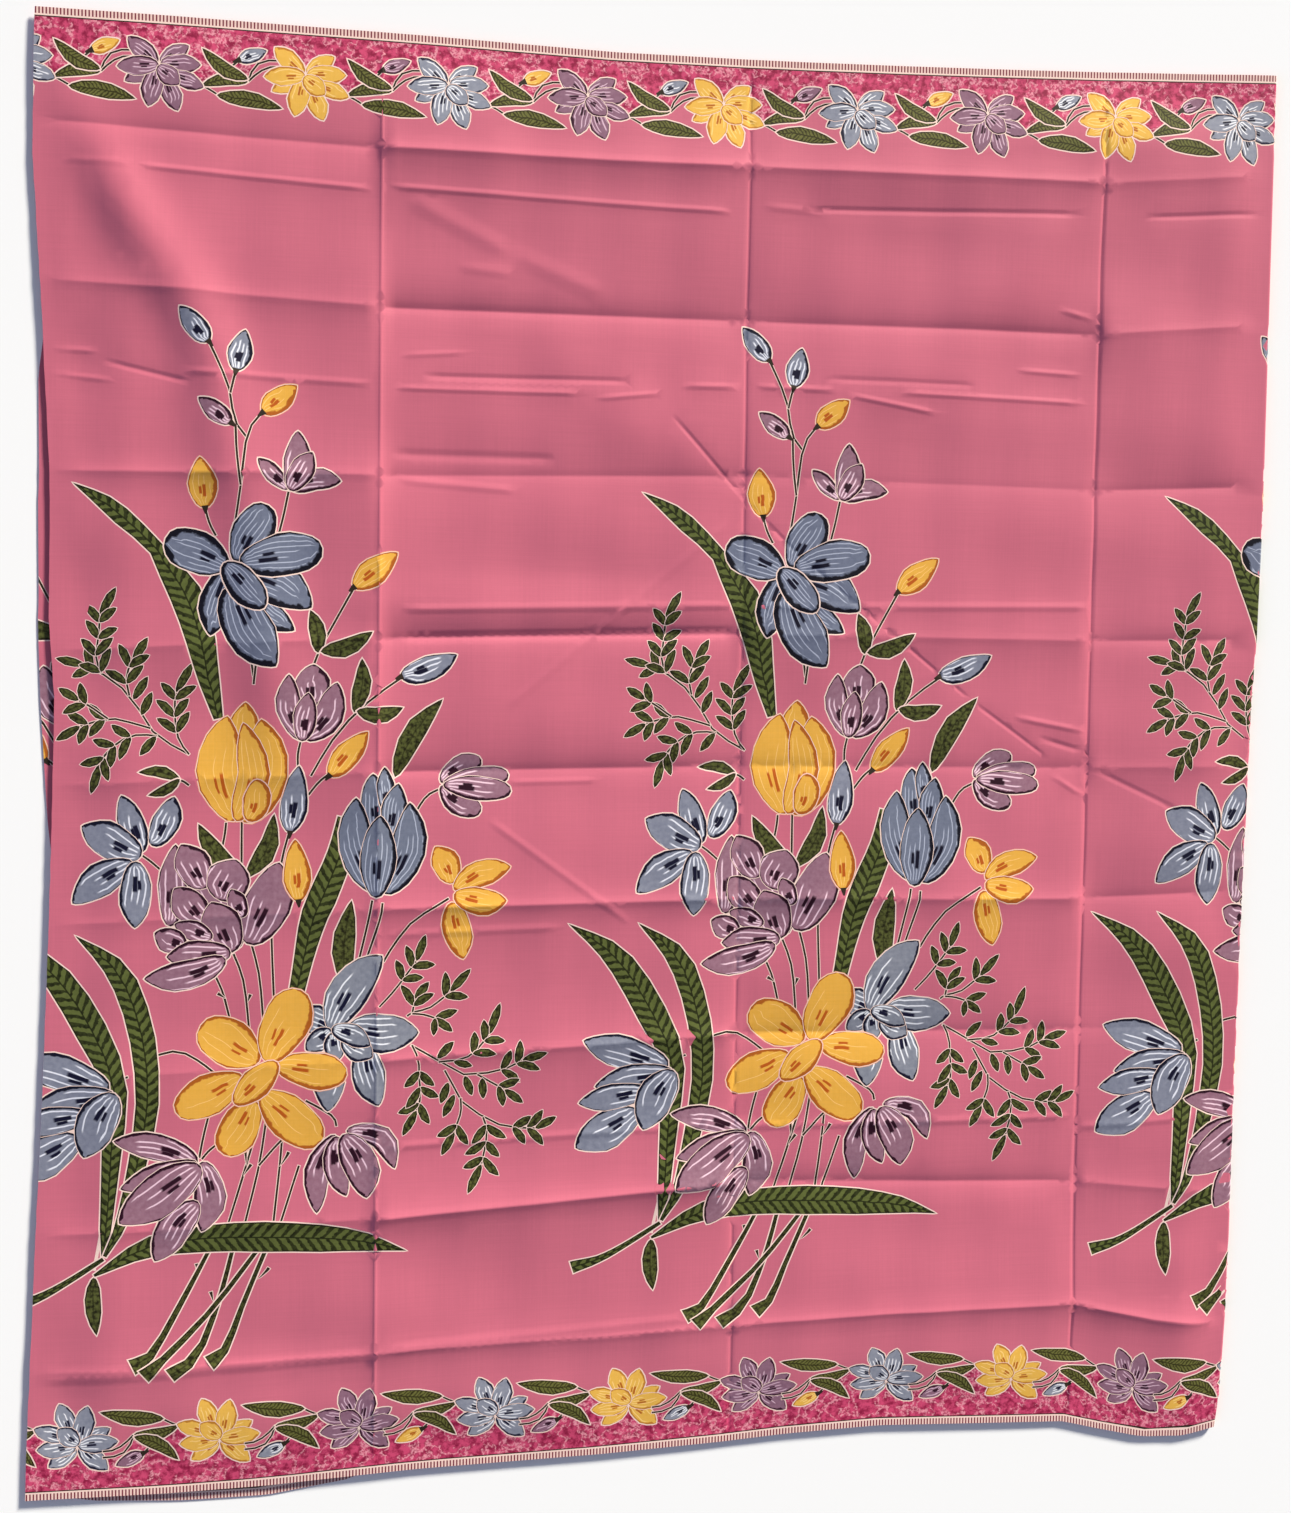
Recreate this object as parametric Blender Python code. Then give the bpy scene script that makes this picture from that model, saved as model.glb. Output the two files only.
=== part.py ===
"""A length of batik cloth, folded once in half and laid flat.

The upper half shows. Its wall runs from the left cut edge, over all the creases
that the folded packet left in it, to the turn at the right, and ends just
underneath. The lower half lies flat on the surface and peeks out a little at the
left and below the lower hem. X runs along the cloth, Y across it from hem to hem,
Z up, and the origin is in the middle of the part, on the surface.
"""

from collections import namedtuple

import bmesh
import bpy
import numpy as np

# Driving sizes, all in millimetres
MM = 0.001                # metres in a millimetre
HALF_LENGTH = 1000.0      # left cut edge to the turn, half of the 2 m length
CLOTH_WIDTH = 1150.0      # selvedge to selvedge
WALL = 1.2                # thickness of each half
SEAM_GAP = 0.3            # between the two halves
REST_LIFT = 4.0           # how far the creased half stands off the flat one
TURN_HEIGHT = 5.0         # outside height of the turn
TURN_LEG = 14.0           # how far the upper half runs on below the turn
TURN_STEPS = 6            # straight steps round the turn
TURN_REACH = 50.0         # the creases settle into the turn over this distance
EDGE_REACH = 70.0         # the creases flatten towards the edges over this distance
EDGE_SHARE = 0.25         # share of the lift that is left at an edge
OUTLINE_REACH = 200.0     # an uneven edge pulls the cloth inside it this far in
CREST_RADIUS = 1.5        # roundness of a crease
CROSS_REACH = 24.0        # how far the slope of a cross fold runs
PANEL_BLEND = 12.0        # a cross fold changes over this distance at a panel fold
SETTLE = 0.4              # softness of the cloth's contact with what it lies on

# How far each side edge lies from its plain straight line, + to the right
SideStation = namedtuple("SideStation", "up left right")
SIDE_STATIONS = (
    SideStation(-575, -5, -15),
    SideStation(-545, -4, -11),
    SideStation(-448, 0, -7),
    SideStation(-337, 5, -6.5),
    SideStation(-259, 9, -6),
    SideStation(-103, 15, -4),
    SideStation(52, 19, -1),
    SideStation(113, 15, 2),
    SideStation(220, 16, 4),
    SideStation(356, 10, 4),
    SideStation(467, 4, 4),
    SideStation(575, 6, 4),
)

# How far each hem lies from its plain straight line, + upwards
HemStation = namedtuple("HemStation", "along lower upper")
HEM_STATIONS = (
    HemStation(-505, 0, -2),
    HemStation(-394, 0, -2.5),
    HemStation(-319, 2, -3.5),
    HemStation(-236, 7, -4.5),
    HemStation(-198, 9, -5),
    HemStation(-51, 13, -8),
    HemStation(50, 18, -7),
    HemStation(105, 22, -6),
    HemStation(185, 25, -4),
    HemStation(282, 22, -1),
    HemStation(349, 20, 1.5),
    HemStation(380, 13, 3),
    HemStation(429, 3, 5),
    HemStation(470, 2, 7),
    HemStation(505, 10, 8),
)

# Where the lower half's edges lie past the upper half's, + outwards
BackSide = namedtuple("BackSide", "up past")
BACK_SIDE = (
    BackSide(-575, -5),
    BackSide(-103, -5),
    BackSide(-60, 1),
    BackSide(-41, 3.5),
    BackSide(52, 11),
    BackSide(128, 8),
    BackSide(204, 9),
    BackSide(300, 5),
    BackSide(345, -3),
    BackSide(575, -5),
)
BackHem = namedtuple("BackHem", "along past")
BACK_HEM = (
    BackHem(-505, -3),
    BackHem(-470, 1),
    BackHem(-453, 4),
    BackHem(-382, 8),
    BackHem(-319, 9),
    BackHem(-255, 3.5),
    BackHem(-236, -3),
    BackHem(505, -3),
)

# The lengthwise folds of the packet: where each crosses, and how far its sides slope
PanelFold = namedtuple("PanelFold", "along left_reach right_reach")
PANEL_FOLDS = (
    PanelFold(-235, 60, 22),
    PanelFold(56, 20, 40),
    PanelFold(353, 22, 60),
)

# How high each lengthwise fold stands along the cloth's width, - where it dips
PanelLift = namedtuple("PanelLift", "up fold_1 fold_2 fold_3")
PANEL_LIFTS = (
    PanelLift(-575, 1.5, -1.5, -2.0),
    PanelLift(-400, 3.5, -3.0, -3.5),
    PanelLift(-220, 3.0, -3.0, -3.5),
    PanelLift(-60, 5.0, -2.5, -3.0),
    PanelLift(50, 6.0, -2.2, -3.0),
    PanelLift(180, 5.0, -2.0, -3.0),
    PanelLift(300, 2.5, -2.0, -2.5),
    PanelLift(420, 2.0, -2.0, -2.5),
    PanelLift(575, 1.0, -1.0, -1.5),
)

# The cross folds of the packet: each one's place at the left edge, at the three
# lengthwise folds and at the turn, and its lift in each of the four panels
CrossFold = namedtuple("CrossFold", "left fold_1 fold_2 fold_3 turn lift_1 lift_2 lift_3 lift_4")
CROSS_FOLDS = (
    CrossFold(-474, -470, -466, -459, -478, 2.0, 3.0, 3.5, 4.5),
    CrossFold(-365, -358, -338, -347, -361, 1.5, 5.0, -3.0, 1.5),
    CrossFold(-243, -231, -215, -217, -215, 0.8, 3.2, -2.0, -0.6),
    CrossFold(-122, -110, -104, -106, -100, 1.0, 3.5, 2.5, -2.0),
    CrossFold(-14, -2, 4, 4, 6, 1.0, -3.2, -1.8, 1.0),
    CrossFold(90, 103, 111, 110, 113, 1.2, -3.0, 1.5, -2.4),
    CrossFold(227, 230, 238, 235, 242, 2.2, -1.8, -0.8, -2.5),
    CrossFold(371, 360, 362, 363, 377, 1.8, -3.5, -3.0, 1.5),
    CrossFold(491, 484, 487, 485, 495, -2.0, 4.0, 3.0, 1.2),
)

# Soft swells between the creases: middle, lift, half length, half breadth, and the
# direction of the length in degrees from +X
Swell = namedtuple("Swell", "along up lift length breadth turn")
SWELLS = (
    Swell(-425, 420, 7.0, 120, 24, -58),
    Swell(-352, 250, 6.0, 120, 26, -78),
    Swell(-318, 80, 4.0, 110, 30, -82),
    Swell(-90, 131, 3.0, 130, 16, 1),
    Swell(-60, 300, 2.0, 110, 30, -38),
    Swell(270, 400, 3.0, 120, 34, 42),
    Swell(190, -60, 2.0, 90, 30, -30),
    Swell(430, -60, 2.5, 150, 34, 84),
    Swell(440, -420, 2.0, 60, 26, 6),
)

# Grid lines of the upper half, as distances from each fold
CROSS_LINES = (-24.0, -8.0, 0.0, 8.0, 24.0)
PANEL_LINES = (-44.0, -14.0, 0.0, 14.0, 44.0)
HEM_LINES = (0.0, 10.0, 34.0)
SIDE_LINES = (0.0, 12.0, 40.0)
TURN_LINES = (40.0, 14.0)
PANEL_FILL = (2, 3, 3, 1)  # grid lines between the folds in each panel

PINK = (0.73, 0.15, 0.26, 1.0)
DEEP_PINK = (0.62, 0.11, 0.21, 1.0)
CLOTH_ROUGHNESS = 0.72


def column(rows, name):
    """One named column of a table, as an array."""
    return np.array([getattr(row, name) for row in rows], float)


def ramp(value):
    """0 below 0, 1 above 1, and a smooth rise between."""
    value = np.clip(value, 0.0, 1.0)
    return value * value * (3.0 - 2.0 * value)


def place(along, up):
    """Where a point of the flat cloth lies, once its edges are as uneven as they are."""
    sides = column(SIDE_STATIONS, "up")
    hems = column(HEM_STATIONS, "along")
    half_x, half_y = HALF_LENGTH / 2, CLOTH_WIDTH / 2
    near_left = ramp(1 - (along + half_x) / OUTLINE_REACH)
    near_right = ramp(1 - (half_x - along) / OUTLINE_REACH)
    near_lower = ramp(1 - (up + half_y) / OUTLINE_REACH)
    near_upper = ramp(1 - (half_y - up) / OUTLINE_REACH)
    x = along + near_left * np.interp(up, sides, column(SIDE_STATIONS, "left"))
    x = x + near_right * np.interp(up, sides, column(SIDE_STATIONS, "right"))
    y = up + near_lower * np.interp(along, hems, column(HEM_STATIONS, "lower"))
    y = y + near_upper * np.interp(along, hems, column(HEM_STATIONS, "upper"))
    return x, y


def crease(distance, reach):
    """The section of one crease, 1 at its crest, with straight-looking sides."""
    rounded = np.sqrt(distance**2 + CREST_RADIUS**2) - CREST_RADIUS
    return np.exp(-rounded / reach)


def cross_fold_line(fold, along):
    """The place of one cross fold at each point along the cloth."""
    half = HALF_LENGTH / 2
    stations = [-half] + [panel.along for panel in PANEL_FOLDS] + [half]
    return np.interp(along, stations, [fold.left, fold.fold_1, fold.fold_2, fold.fold_3, fold.turn])


def cross_fold_lift(fold, along):
    """The lift of one cross fold, which changes at each lengthwise fold."""
    lift = np.full_like(along, fold.lift_1)
    steps = (fold.lift_2 - fold.lift_1, fold.lift_3 - fold.lift_2, fold.lift_4 - fold.lift_3)
    for panel, step in zip(PANEL_FOLDS, steps):
        lift += step * ramp((along - panel.along) / (2 * PANEL_BLEND) + 0.5)
    return lift


def stand_off(along, up):
    """How far the upper half's underside stands off the lower half."""
    height = np.full_like(along, REST_LIFT)
    for number, panel in enumerate(PANEL_FOLDS, 1):
        lift = np.interp(up, column(PANEL_LIFTS, "up"), column(PANEL_LIFTS, f"fold_{number}"))
        reach = np.where(along < panel.along, panel.left_reach, panel.right_reach)
        height += lift * crease(along - panel.along, reach)
    for fold in CROSS_FOLDS:
        distance = up - cross_fold_line(fold, along)
        height += cross_fold_lift(fold, along) * crease(distance, CROSS_REACH)
    for swell in SWELLS:
        turn = np.radians(swell.turn)
        right, forward = along - swell.along, up - swell.up
        lengthwise = (right * np.cos(turn) + forward * np.sin(turn)) / swell.length
        sideways = (forward * np.cos(turn) - right * np.sin(turn)) / swell.breadth
        height += swell.lift * np.exp(-lengthwise**2 - sideways**2)
    to_hem = CLOTH_WIDTH / 2 - np.abs(up)
    to_left = along + HALF_LENGTH / 2
    to_turn = HALF_LENGTH / 2 - along
    inside = ramp(to_hem / EDGE_REACH) * ramp(to_left / EDGE_REACH)
    height *= EDGE_SHARE + (1 - EDGE_SHARE) * inside
    settled = SETTLE * np.log1p(np.exp(height / SETTLE))
    turn_share = ramp(1 - to_turn / TURN_REACH)
    at_turn = TURN_HEIGHT - 2 * WALL - SEAM_GAP
    return settled + turn_share * (at_turn - settled)


def grid_columns():
    """Places of the grid lines along the cloth, from the left edge to the turn."""
    left_edge = -HALF_LENGTH / 2
    turn_start = HALF_LENGTH / 2 - TURN_HEIGHT / 2
    lines = [left_edge + step for step in SIDE_LINES]
    for panel, fill in zip(PANEL_FOLDS, PANEL_FILL):
        first = panel.along + PANEL_LINES[0]
        lines += list(np.linspace(lines[-1], first, fill + 2)[1:-1])
        lines += [panel.along + step for step in PANEL_LINES]
    first = turn_start - TURN_LINES[0]
    lines += list(np.linspace(lines[-1], first, PANEL_FILL[-1] + 2)[1:-1])
    lines += [turn_start - step for step in TURN_LINES] + [turn_start]
    return np.array(lines)


def grid_rows(along):
    """The grid lines across the cloth, each following the cross fold it belongs to."""
    half = CLOTH_WIDTH / 2
    rows = [np.full_like(along, -half + step) for step in HEM_LINES]
    for fold in CROSS_FOLDS:
        line = cross_fold_line(fold, along)
        fold_rows = [line + step for step in CROSS_LINES]
        rows.append((rows[-1] + fold_rows[0]) / 2)
        rows += fold_rows
    last = np.full_like(along, half - HEM_LINES[-1])
    rows.append((rows[-1] + last) / 2)
    rows += [np.full_like(along, half - step) for step in reversed(HEM_LINES)]
    return np.array(rows)


def section_around_turn(x_turn, y, radius):
    """Points of one surface of the wall round the turn and along the leg below it."""
    centre_x = x_turn - TURN_HEIGHT / 2
    centre_z = TURN_HEIGHT / 2
    angles = np.linspace(0, np.pi, TURN_STEPS + 1)[1:]
    points = [(centre_x + radius * np.sin(a), y, centre_z + radius * np.cos(a)) for a in angles]
    points.append((x_turn - TURN_LEG, y, centre_z - radius))
    return points


def wall_sections():
    """Outer and inner points of the upper half, one section for each grid row."""
    along = grid_columns()
    outer, inner = [], []
    for up in grid_rows(along):
        x, y = place(along, up)
        low = WALL + SEAM_GAP + stand_off(along, up)
        turn_x, turn_y = x[-1] + TURN_HEIGHT / 2, y[-1]
        top = [tuple(point) for point in zip(x, y, low + WALL)]
        bottom = [tuple(point) for point in zip(x, y, low)]
        outer.append(top + section_around_turn(turn_x, turn_y, TURN_HEIGHT / 2))
        inner.append(bottom + section_around_turn(turn_x, turn_y, TURN_HEIGHT / 2 - WALL))
    return outer, inner


def add_grid(shape, sections):
    """Vertices for a list of sections, as a list of rows."""
    return [[shape.verts.new([value * MM for value in point]) for point in row] for row in sections]


def add_strip(shape, first, second):
    """Quads between two rows of vertices."""
    for k in range(len(first) - 1):
        shape.faces.new((first[k], first[k + 1], second[k + 1], second[k]))


def finish_object(name, shape, colour):
    """Turn a bmesh into a named object with its own cloth material."""
    bmesh.ops.recalc_face_normals(shape, faces=shape.faces)
    mesh = bpy.data.meshes.new(name)
    shape.to_mesh(mesh)
    shape.free()
    material = bpy.data.materials.new(name + "_cloth")
    material.use_nodes = True
    shader = material.node_tree.nodes["Principled BSDF"]
    shader.inputs["Base Color"].default_value = colour
    shader.inputs["Roughness"].default_value = CLOTH_ROUGHNESS
    shader.inputs["Metallic"].default_value = 0.0
    mesh.materials.append(material)
    made = bpy.data.objects.new(name, mesh)
    bpy.context.scene.collection.objects.link(made)
    return made


def front_layer():
    """The upper half: one wall through its sections, closed at its four edges."""
    outer_points, inner_points = wall_sections()
    shape = bmesh.new()
    outer = add_grid(shape, outer_points)
    inner = add_grid(shape, inner_points)
    for row in range(len(outer) - 1):
        add_strip(shape, outer[row], outer[row + 1])
        add_strip(shape, inner[row + 1], inner[row])
    for row, flip in ((0, False), (-1, True)):
        pair = (outer[row], inner[row]) if flip else (inner[row], outer[row])
        add_strip(shape, *pair)
    for end in (0, -1):
        add_strip(shape, [row[end] for row in outer], [row[end] for row in inner])
    made = finish_object("front_layer", shape, PINK)
    made.data.shade_smooth()
    return made


def back_outline():
    """The lower half's outline, from the upper half's edges and how far it peeks past them."""
    half_x, half_y = HALF_LENGTH / 2, CLOTH_WIDTH / 2
    ups = column(SIDE_STATIONS, "up")
    ups = np.unique(np.concatenate([ups, column(BACK_SIDE, "up")]))
    left_x, left_y = place(np.full_like(ups, -half_x), ups)
    left_x = left_x - np.interp(ups, column(BACK_SIDE, "up"), column(BACK_SIDE, "past"))
    right_x, right_y = place(np.full_like(ups, half_x), ups)
    right_x = right_x - TURN_LEG - SEAM_GAP
    alongs = np.unique(np.concatenate([column(HEM_STATIONS, "along"), column(BACK_HEM, "along")]))
    alongs = alongs[(alongs > left_x.max() + 2) & (alongs < right_x.min() - 2)]
    past = np.interp(alongs, column(BACK_HEM, "along"), column(BACK_HEM, "past"))
    lower_y = place(alongs, np.full_like(alongs, -half_y))[1] - past
    upper_y = place(alongs, np.full_like(alongs, half_y))[1] + column(BACK_HEM, "past")[-1]
    inner = (left_y > lower_y.min() + 12) & (left_y < upper_y.min() - 4)
    corners_low = [(left_x[0], lower_y[0])], [(right_x[0], lower_y[-1])]
    corners_high = [(right_x[-1], upper_y[-1])], [(left_x[-1], upper_y[0])]
    outline = corners_low[0] + list(zip(alongs, lower_y)) + corners_low[1]
    outline += list(zip(right_x[inner], right_y[inner])) + corners_high[0]
    outline += list(zip(alongs, upper_y))[::-1] + corners_high[1]
    outline += list(zip(left_x[inner], left_y[inner]))[::-1]
    return outline


def back_layer():
    """The lower half: a flat wall on the surface, cut to its own outline."""
    shape = bmesh.new()
    outline = [shape.verts.new((x * MM, y * MM, 0.0)) for x, y in back_outline()]
    floor_face = shape.faces.new(outline)
    raised = bmesh.ops.extrude_face_region(shape, geom=[floor_face])
    top = [item for item in raised["geom"] if isinstance(item, bmesh.types.BMVert)]
    bmesh.ops.translate(shape, verts=top, vec=(0.0, 0.0, WALL * MM))
    return finish_object("back_layer", shape, DEEP_PINK)


for old in list(bpy.data.objects):
    bpy.data.objects.remove(old, do_unlink=True)
for piece in (front_layer(), back_layer()):
    print(piece.name, len(piece.data.polygons), "faces")
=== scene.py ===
# %% [markdown]
# ## A batik length, folded once and laid flat
# The real thing is two metres of fine printed cotton. It lies folded in half, so
# that one half shows and the other half rests on the table. The packet folds of the
# shop are still in it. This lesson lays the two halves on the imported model, draws
# the print as flat patches in the cloth's own mesh, and gives each dye its material.

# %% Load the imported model
import math
from collections import namedtuple

import bpy
import numpy as np
from mathutils import Matrix, Vector
from mathutils.geometry import delaunay_2d_cdt


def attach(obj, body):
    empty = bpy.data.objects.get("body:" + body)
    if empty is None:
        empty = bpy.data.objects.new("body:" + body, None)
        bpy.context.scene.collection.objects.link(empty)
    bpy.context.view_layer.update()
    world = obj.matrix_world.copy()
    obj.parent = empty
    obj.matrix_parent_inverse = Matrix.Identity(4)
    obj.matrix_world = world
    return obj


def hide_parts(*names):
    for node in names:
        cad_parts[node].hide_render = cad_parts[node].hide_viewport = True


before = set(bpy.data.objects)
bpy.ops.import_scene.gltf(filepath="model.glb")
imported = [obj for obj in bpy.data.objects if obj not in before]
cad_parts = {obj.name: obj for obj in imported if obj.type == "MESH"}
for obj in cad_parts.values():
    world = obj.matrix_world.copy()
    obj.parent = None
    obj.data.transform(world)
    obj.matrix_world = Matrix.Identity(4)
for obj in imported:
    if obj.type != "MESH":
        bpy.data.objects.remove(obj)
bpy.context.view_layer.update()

bpy.ops.object.select_all(action="DESELECT")

# %% [markdown]
# ## Camera
# The photograph was taken from straight above, a little turned. The camera is set
# from the distance and the three small angles of that view, and looks at the middle
# of the cloth. The image is 1513 pixels high, so the lens follows from the height.

# %% Camera
MM = 0.001
IMAGE_HEIGHT = 1513.0
FOCAL_PIXELS = 1855.0
SENSOR = 36.0
AIM = Vector((-0.021, 0.011, 0.0))
CAMERA_DISTANCE = 1.5
YAW, PITCH, ROLL = (math.radians(angle) for angle in (-9.0, -3.0, 0.8))

camera_data = bpy.data.cameras.new("camera")
camera_data.sensor_fit = "VERTICAL"
camera_data.sensor_height = SENSOR
camera_data.lens = FOCAL_PIXELS * SENSOR / IMAGE_HEIGHT
camera = bpy.data.objects.new("camera", camera_data)
bpy.context.scene.collection.objects.link(camera)
turn = Matrix.Rotation(YAW, 4, "Y") @ Matrix.Rotation(PITCH, 4, "X") @ Matrix.Rotation(ROLL, 4, "Z")
camera.matrix_world = Matrix.Translation(AIM + turn @ Vector((0.0, 0.0, CAMERA_DISTANCE))) @ turn
bpy.context.scene.camera = camera
print("lens in millimetres:", round(camera_data.lens, 2))

# %% [markdown]
# ## Light and floor
# A warm light stands low at the upper right, and the rest of the room is bluish. A
# fold is only a few millimetres high, so the low light is what makes it show: the
# side that faces the light is bright pink, and the far side turns purple.

# %% Light and floor
KEY_COLOUR = (1.0, 0.93, 0.80)
FILL_COLOUR = (0.55, 0.60, 1.0)
ROOM_COLOUR = (0.80, 0.86, 1.0)
ROOM_STRENGTH = 0.20
FLOOR_COLOUR = (0.94, 0.97, 1.0)
FLOOR_ROUGHNESS = 0.9
FLOOR_SIZE = 12.0
FLOOR_DROP = 0.0006


def add_sun(name, colour, strength, bearing, elevation, softness):
    """A sun lamp whose light comes from a compass bearing and a height, in degrees."""
    lamp = bpy.data.lights.new(name, "SUN")
    lamp.color = colour
    lamp.energy = strength
    lamp.angle = math.radians(softness)
    made = bpy.data.objects.new(name, lamp)
    bearing, elevation = math.radians(bearing), math.radians(elevation)
    source = Vector((math.cos(bearing) * math.cos(elevation),
                     math.sin(bearing) * math.cos(elevation), math.sin(elevation)))
    made.rotation_euler = source.to_track_quat("Z", "Y").to_euler()
    bpy.context.scene.collection.objects.link(made)
    return made


add_sun("key", KEY_COLOUR, 6.7, bearing=54, elevation=22, softness=10)
add_sun("fill", FILL_COLOUR, 0.75, bearing=195, elevation=26, softness=40)
world = bpy.data.worlds.new("room")
world.use_nodes = True
room_light = world.node_tree.nodes["Background"].inputs
room_light["Color"].default_value = (*ROOM_COLOUR, 1.0)
room_light["Strength"].default_value = ROOM_STRENGTH
bpy.context.scene.world = world
bpy.context.scene.view_settings.view_transform = "Standard"

bpy.ops.mesh.primitive_plane_add(size=FLOOR_SIZE, location=(0.0, 0.0, -FLOOR_DROP))
floor = bpy.context.object
floor.name = "floor"
floor_paint = bpy.data.materials.new("floor_paint")
floor_paint.use_nodes = True
floor_shader = floor_paint.node_tree.nodes["Principled BSDF"].inputs
floor_shader["Base Color"].default_value = (*FLOOR_COLOUR, 1.0)
floor_shader["Roughness"].default_value = FLOOR_ROUGHNESS
floor.data.materials.append(floor_paint)
bpy.ops.object.select_all(action="DESELECT")
print("two lamps and a pale floor")

# %% [markdown]
# ## The size of the cloth and its edges
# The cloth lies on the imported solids, so its sizes are theirs, in millimetres. Cut and
# woven edges of soft cotton are never quite straight, so each edge has a table: a row
# says how far the edge stands off its plain line at one place. The lower half has its
# own tables for the two edges that peek out.

# %% Sizes and edges
HALF_LENGTH = 1000.0
CLOTH_WIDTH = 1150.0
HALF_X = HALF_LENGTH / 2
HALF_Y = CLOTH_WIDTH / 2
WALL = 1.2
SEAM_GAP = 0.3
REST_LIFT = 4.0
TURN_HEIGHT = 5.0
TURN_LEG = 14.0
TURN_REACH = 50.0
EDGE_REACH = 70.0
EDGE_SHARE = 0.25
OUTLINE_REACH = 200.0
CREST_RADIUS = 1.5
CROSS_REACH = 24.0
PANEL_BLEND = 12.0
SETTLE = 0.4
SHEET = 0.6
TURN_RADIUS = TURN_HEIGHT / 2


def table(columns, *rows):
    """A table with named columns, as a tuple of named rows."""
    row_type = namedtuple("Row", columns)
    return tuple(row_type(*row) for row in rows)


def column(rows, name):
    """One named column of a table, as an array."""
    return np.array([getattr(row, name) for row in rows], float)


def read_table(rows, name, at):
    """A column of a table between its rows. The first column says where each row stands."""
    return np.interp(at, column(rows, rows[0]._fields[0]), column(rows, name))


SIDE_STATIONS = table(
    "up left right",
    (-575, -5, -15), (-545, -4, -11), (-448, 0, -7),
    (-337, 5, -6.5), (-259, 9, -6), (-103, 15, -4),
    (52, 19, -1), (113, 15, 2), (220, 16, 4),
    (356, 10, 4), (467, 4, 4), (575, 6, 4),
)
HEM_STATIONS = table(
    "along lower upper",
    (-505, 0, -2), (-394, 0, -2.5), (-319, 2, -3.5),
    (-236, 7, -4.5), (-198, 9, -5), (-51, 13, -8),
    (50, 18, -7), (105, 22, -6), (185, 25, -4),
    (282, 22, -1), (349, 20, 1.5), (380, 13, 3),
    (429, 3, 5), (470, 2, 7), (505, 10, 8),
)
BACK_SIDE = table(
    "up past",
    (-575, -5), (-103, -5), (-60, 1), (-41, 3.5),
    (52, 11), (128, 8), (204, 9), (300, 5),
    (345, -3), (575, -5),
)
BACK_HEM = table(
    "along past",
    (-505, -3), (-470, 1), (-453, 4), (-382, 8),
    (-319, 9), (-255, 3.5), (-236, -3), (505, -3),
)
print("one half of the cloth:", HALF_LENGTH, "by", CLOTH_WIDTH, "mm")

# %% [markdown]
# ## The folds of the packet
# In the shop the cloth was a packet, folded three times one way and nine times the
# other, so the folds cross like a grid. A cross fold is a row: its place at the left
# edge, at the three lengthwise folds and at the turn, and its lift between them. The
# section of a fold is a soft ridge or trough that dies away on both sides. Wide swells
# lie between the folds, where the cotton didn't settle.

# %% Folds of the packet
PANEL_FOLDS = table("along left_reach right_reach", (-235, 60, 22), (56, 20, 40), (353, 22, 60))
PANEL_LIFTS = table(
    "up fold_1 fold_2 fold_3",
    (-575, 1.5, -1.5, -2.0), (-400, 3.5, -3.0, -3.5),
    (-220, 3.0, -3.0, -3.5), (-60, 6.0, -2.5, -3.0),
    (50, 7.5, -2.2, -3.0), (180, 6.5, -2.0, -3.0),
    (300, 3.5, -2.0, -2.5), (420, 2.0, -2.0, -2.5),
    (575, 1.0, -1.0, -1.5),
)
CROSS_FOLDS = table(
    "left fold_1 fold_2 fold_3 turn lift_1 lift_2 lift_3 lift_4",
    (-474, -470, -466, -459, -478, 2.0, 3.0, 3.5, 4.5),
    (-365, -358, -338, -347, -361, 1.5, 5.0, -3.0, 1.5),
    (-243, -231, -215, -217, -215, 0.8, 3.2, -2.0, -0.6),
    (-122, -110, -104, -106, -100, 1.0, 3.5, 2.5, -2.0),
    (-14, -2, 4, 4, 6, 1.0, -3.2, -1.8, 1.0),
    (90, 103, 111, 110, 113, 1.2, -3.0, 1.5, -2.4),
    (227, 230, 238, 235, 242, 2.2, -1.8, -0.8, -2.5),
    (371, 360, 362, 363, 377, 1.8, -3.5, -3.0, 1.5),
    (491, 484, 487, 485, 495, -2.0, 4.0, 3.0, 1.2),
)
SWELLS = table(
    "along up lift length breadth turn",
    (-425, 420, 7.0, 120, 24, -58), (-352, 250, 6.0, 120, 26, -78),
    (-318, 80, 4.0, 110, 30, -82), (-90, 131, 3.0, 130, 16, 1),
    (-60, 300, 2.0, 110, 30, -38), (270, 400, 3.0, 120, 34, 42),
    (190, -60, 2.0, 90, 30, -30), (430, -60, 2.5, 150, 34, 84),
    (440, -420, 2.0, 60, 26, 6), (-150, 55, 3.5, 110, 65, -86),
    (-170, 505, 2.5, 60, 45, -35), (320, 525, 3.0, 150, 34, 0),
)


def ramp(value):
    """0 below 0, 1 above 1, and a smooth rise between."""
    value = np.clip(value, 0.0, 1.0)
    return value * value * (3.0 - 2.0 * value)


def crease(distance, reach, radius=CREST_RADIUS):
    """The section of one crease, 1 at its crest, with straight-looking sides."""
    rounded = np.sqrt(distance**2 + radius**2) - radius
    return np.exp(-rounded / reach)


def cross_fold_line(fold, along):
    """The place of one cross fold at each point along the cloth."""
    stations = [-HALF_X] + [panel.along for panel in PANEL_FOLDS] + [HALF_X]
    return np.interp(along, stations, [fold.left, fold.fold_1, fold.fold_2, fold.fold_3, fold.turn])


def cross_fold_lift(fold, along):
    """The lift of one cross fold, which changes at each lengthwise fold."""
    lift = np.full_like(along, fold.lift_1)
    steps = (fold.lift_2 - fold.lift_1, fold.lift_3 - fold.lift_2, fold.lift_4 - fold.lift_3)
    for panel, step in zip(PANEL_FOLDS, steps):
        lift += step * ramp((along - panel.along) / (2 * PANEL_BLEND) + 0.5)
    return lift


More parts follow.
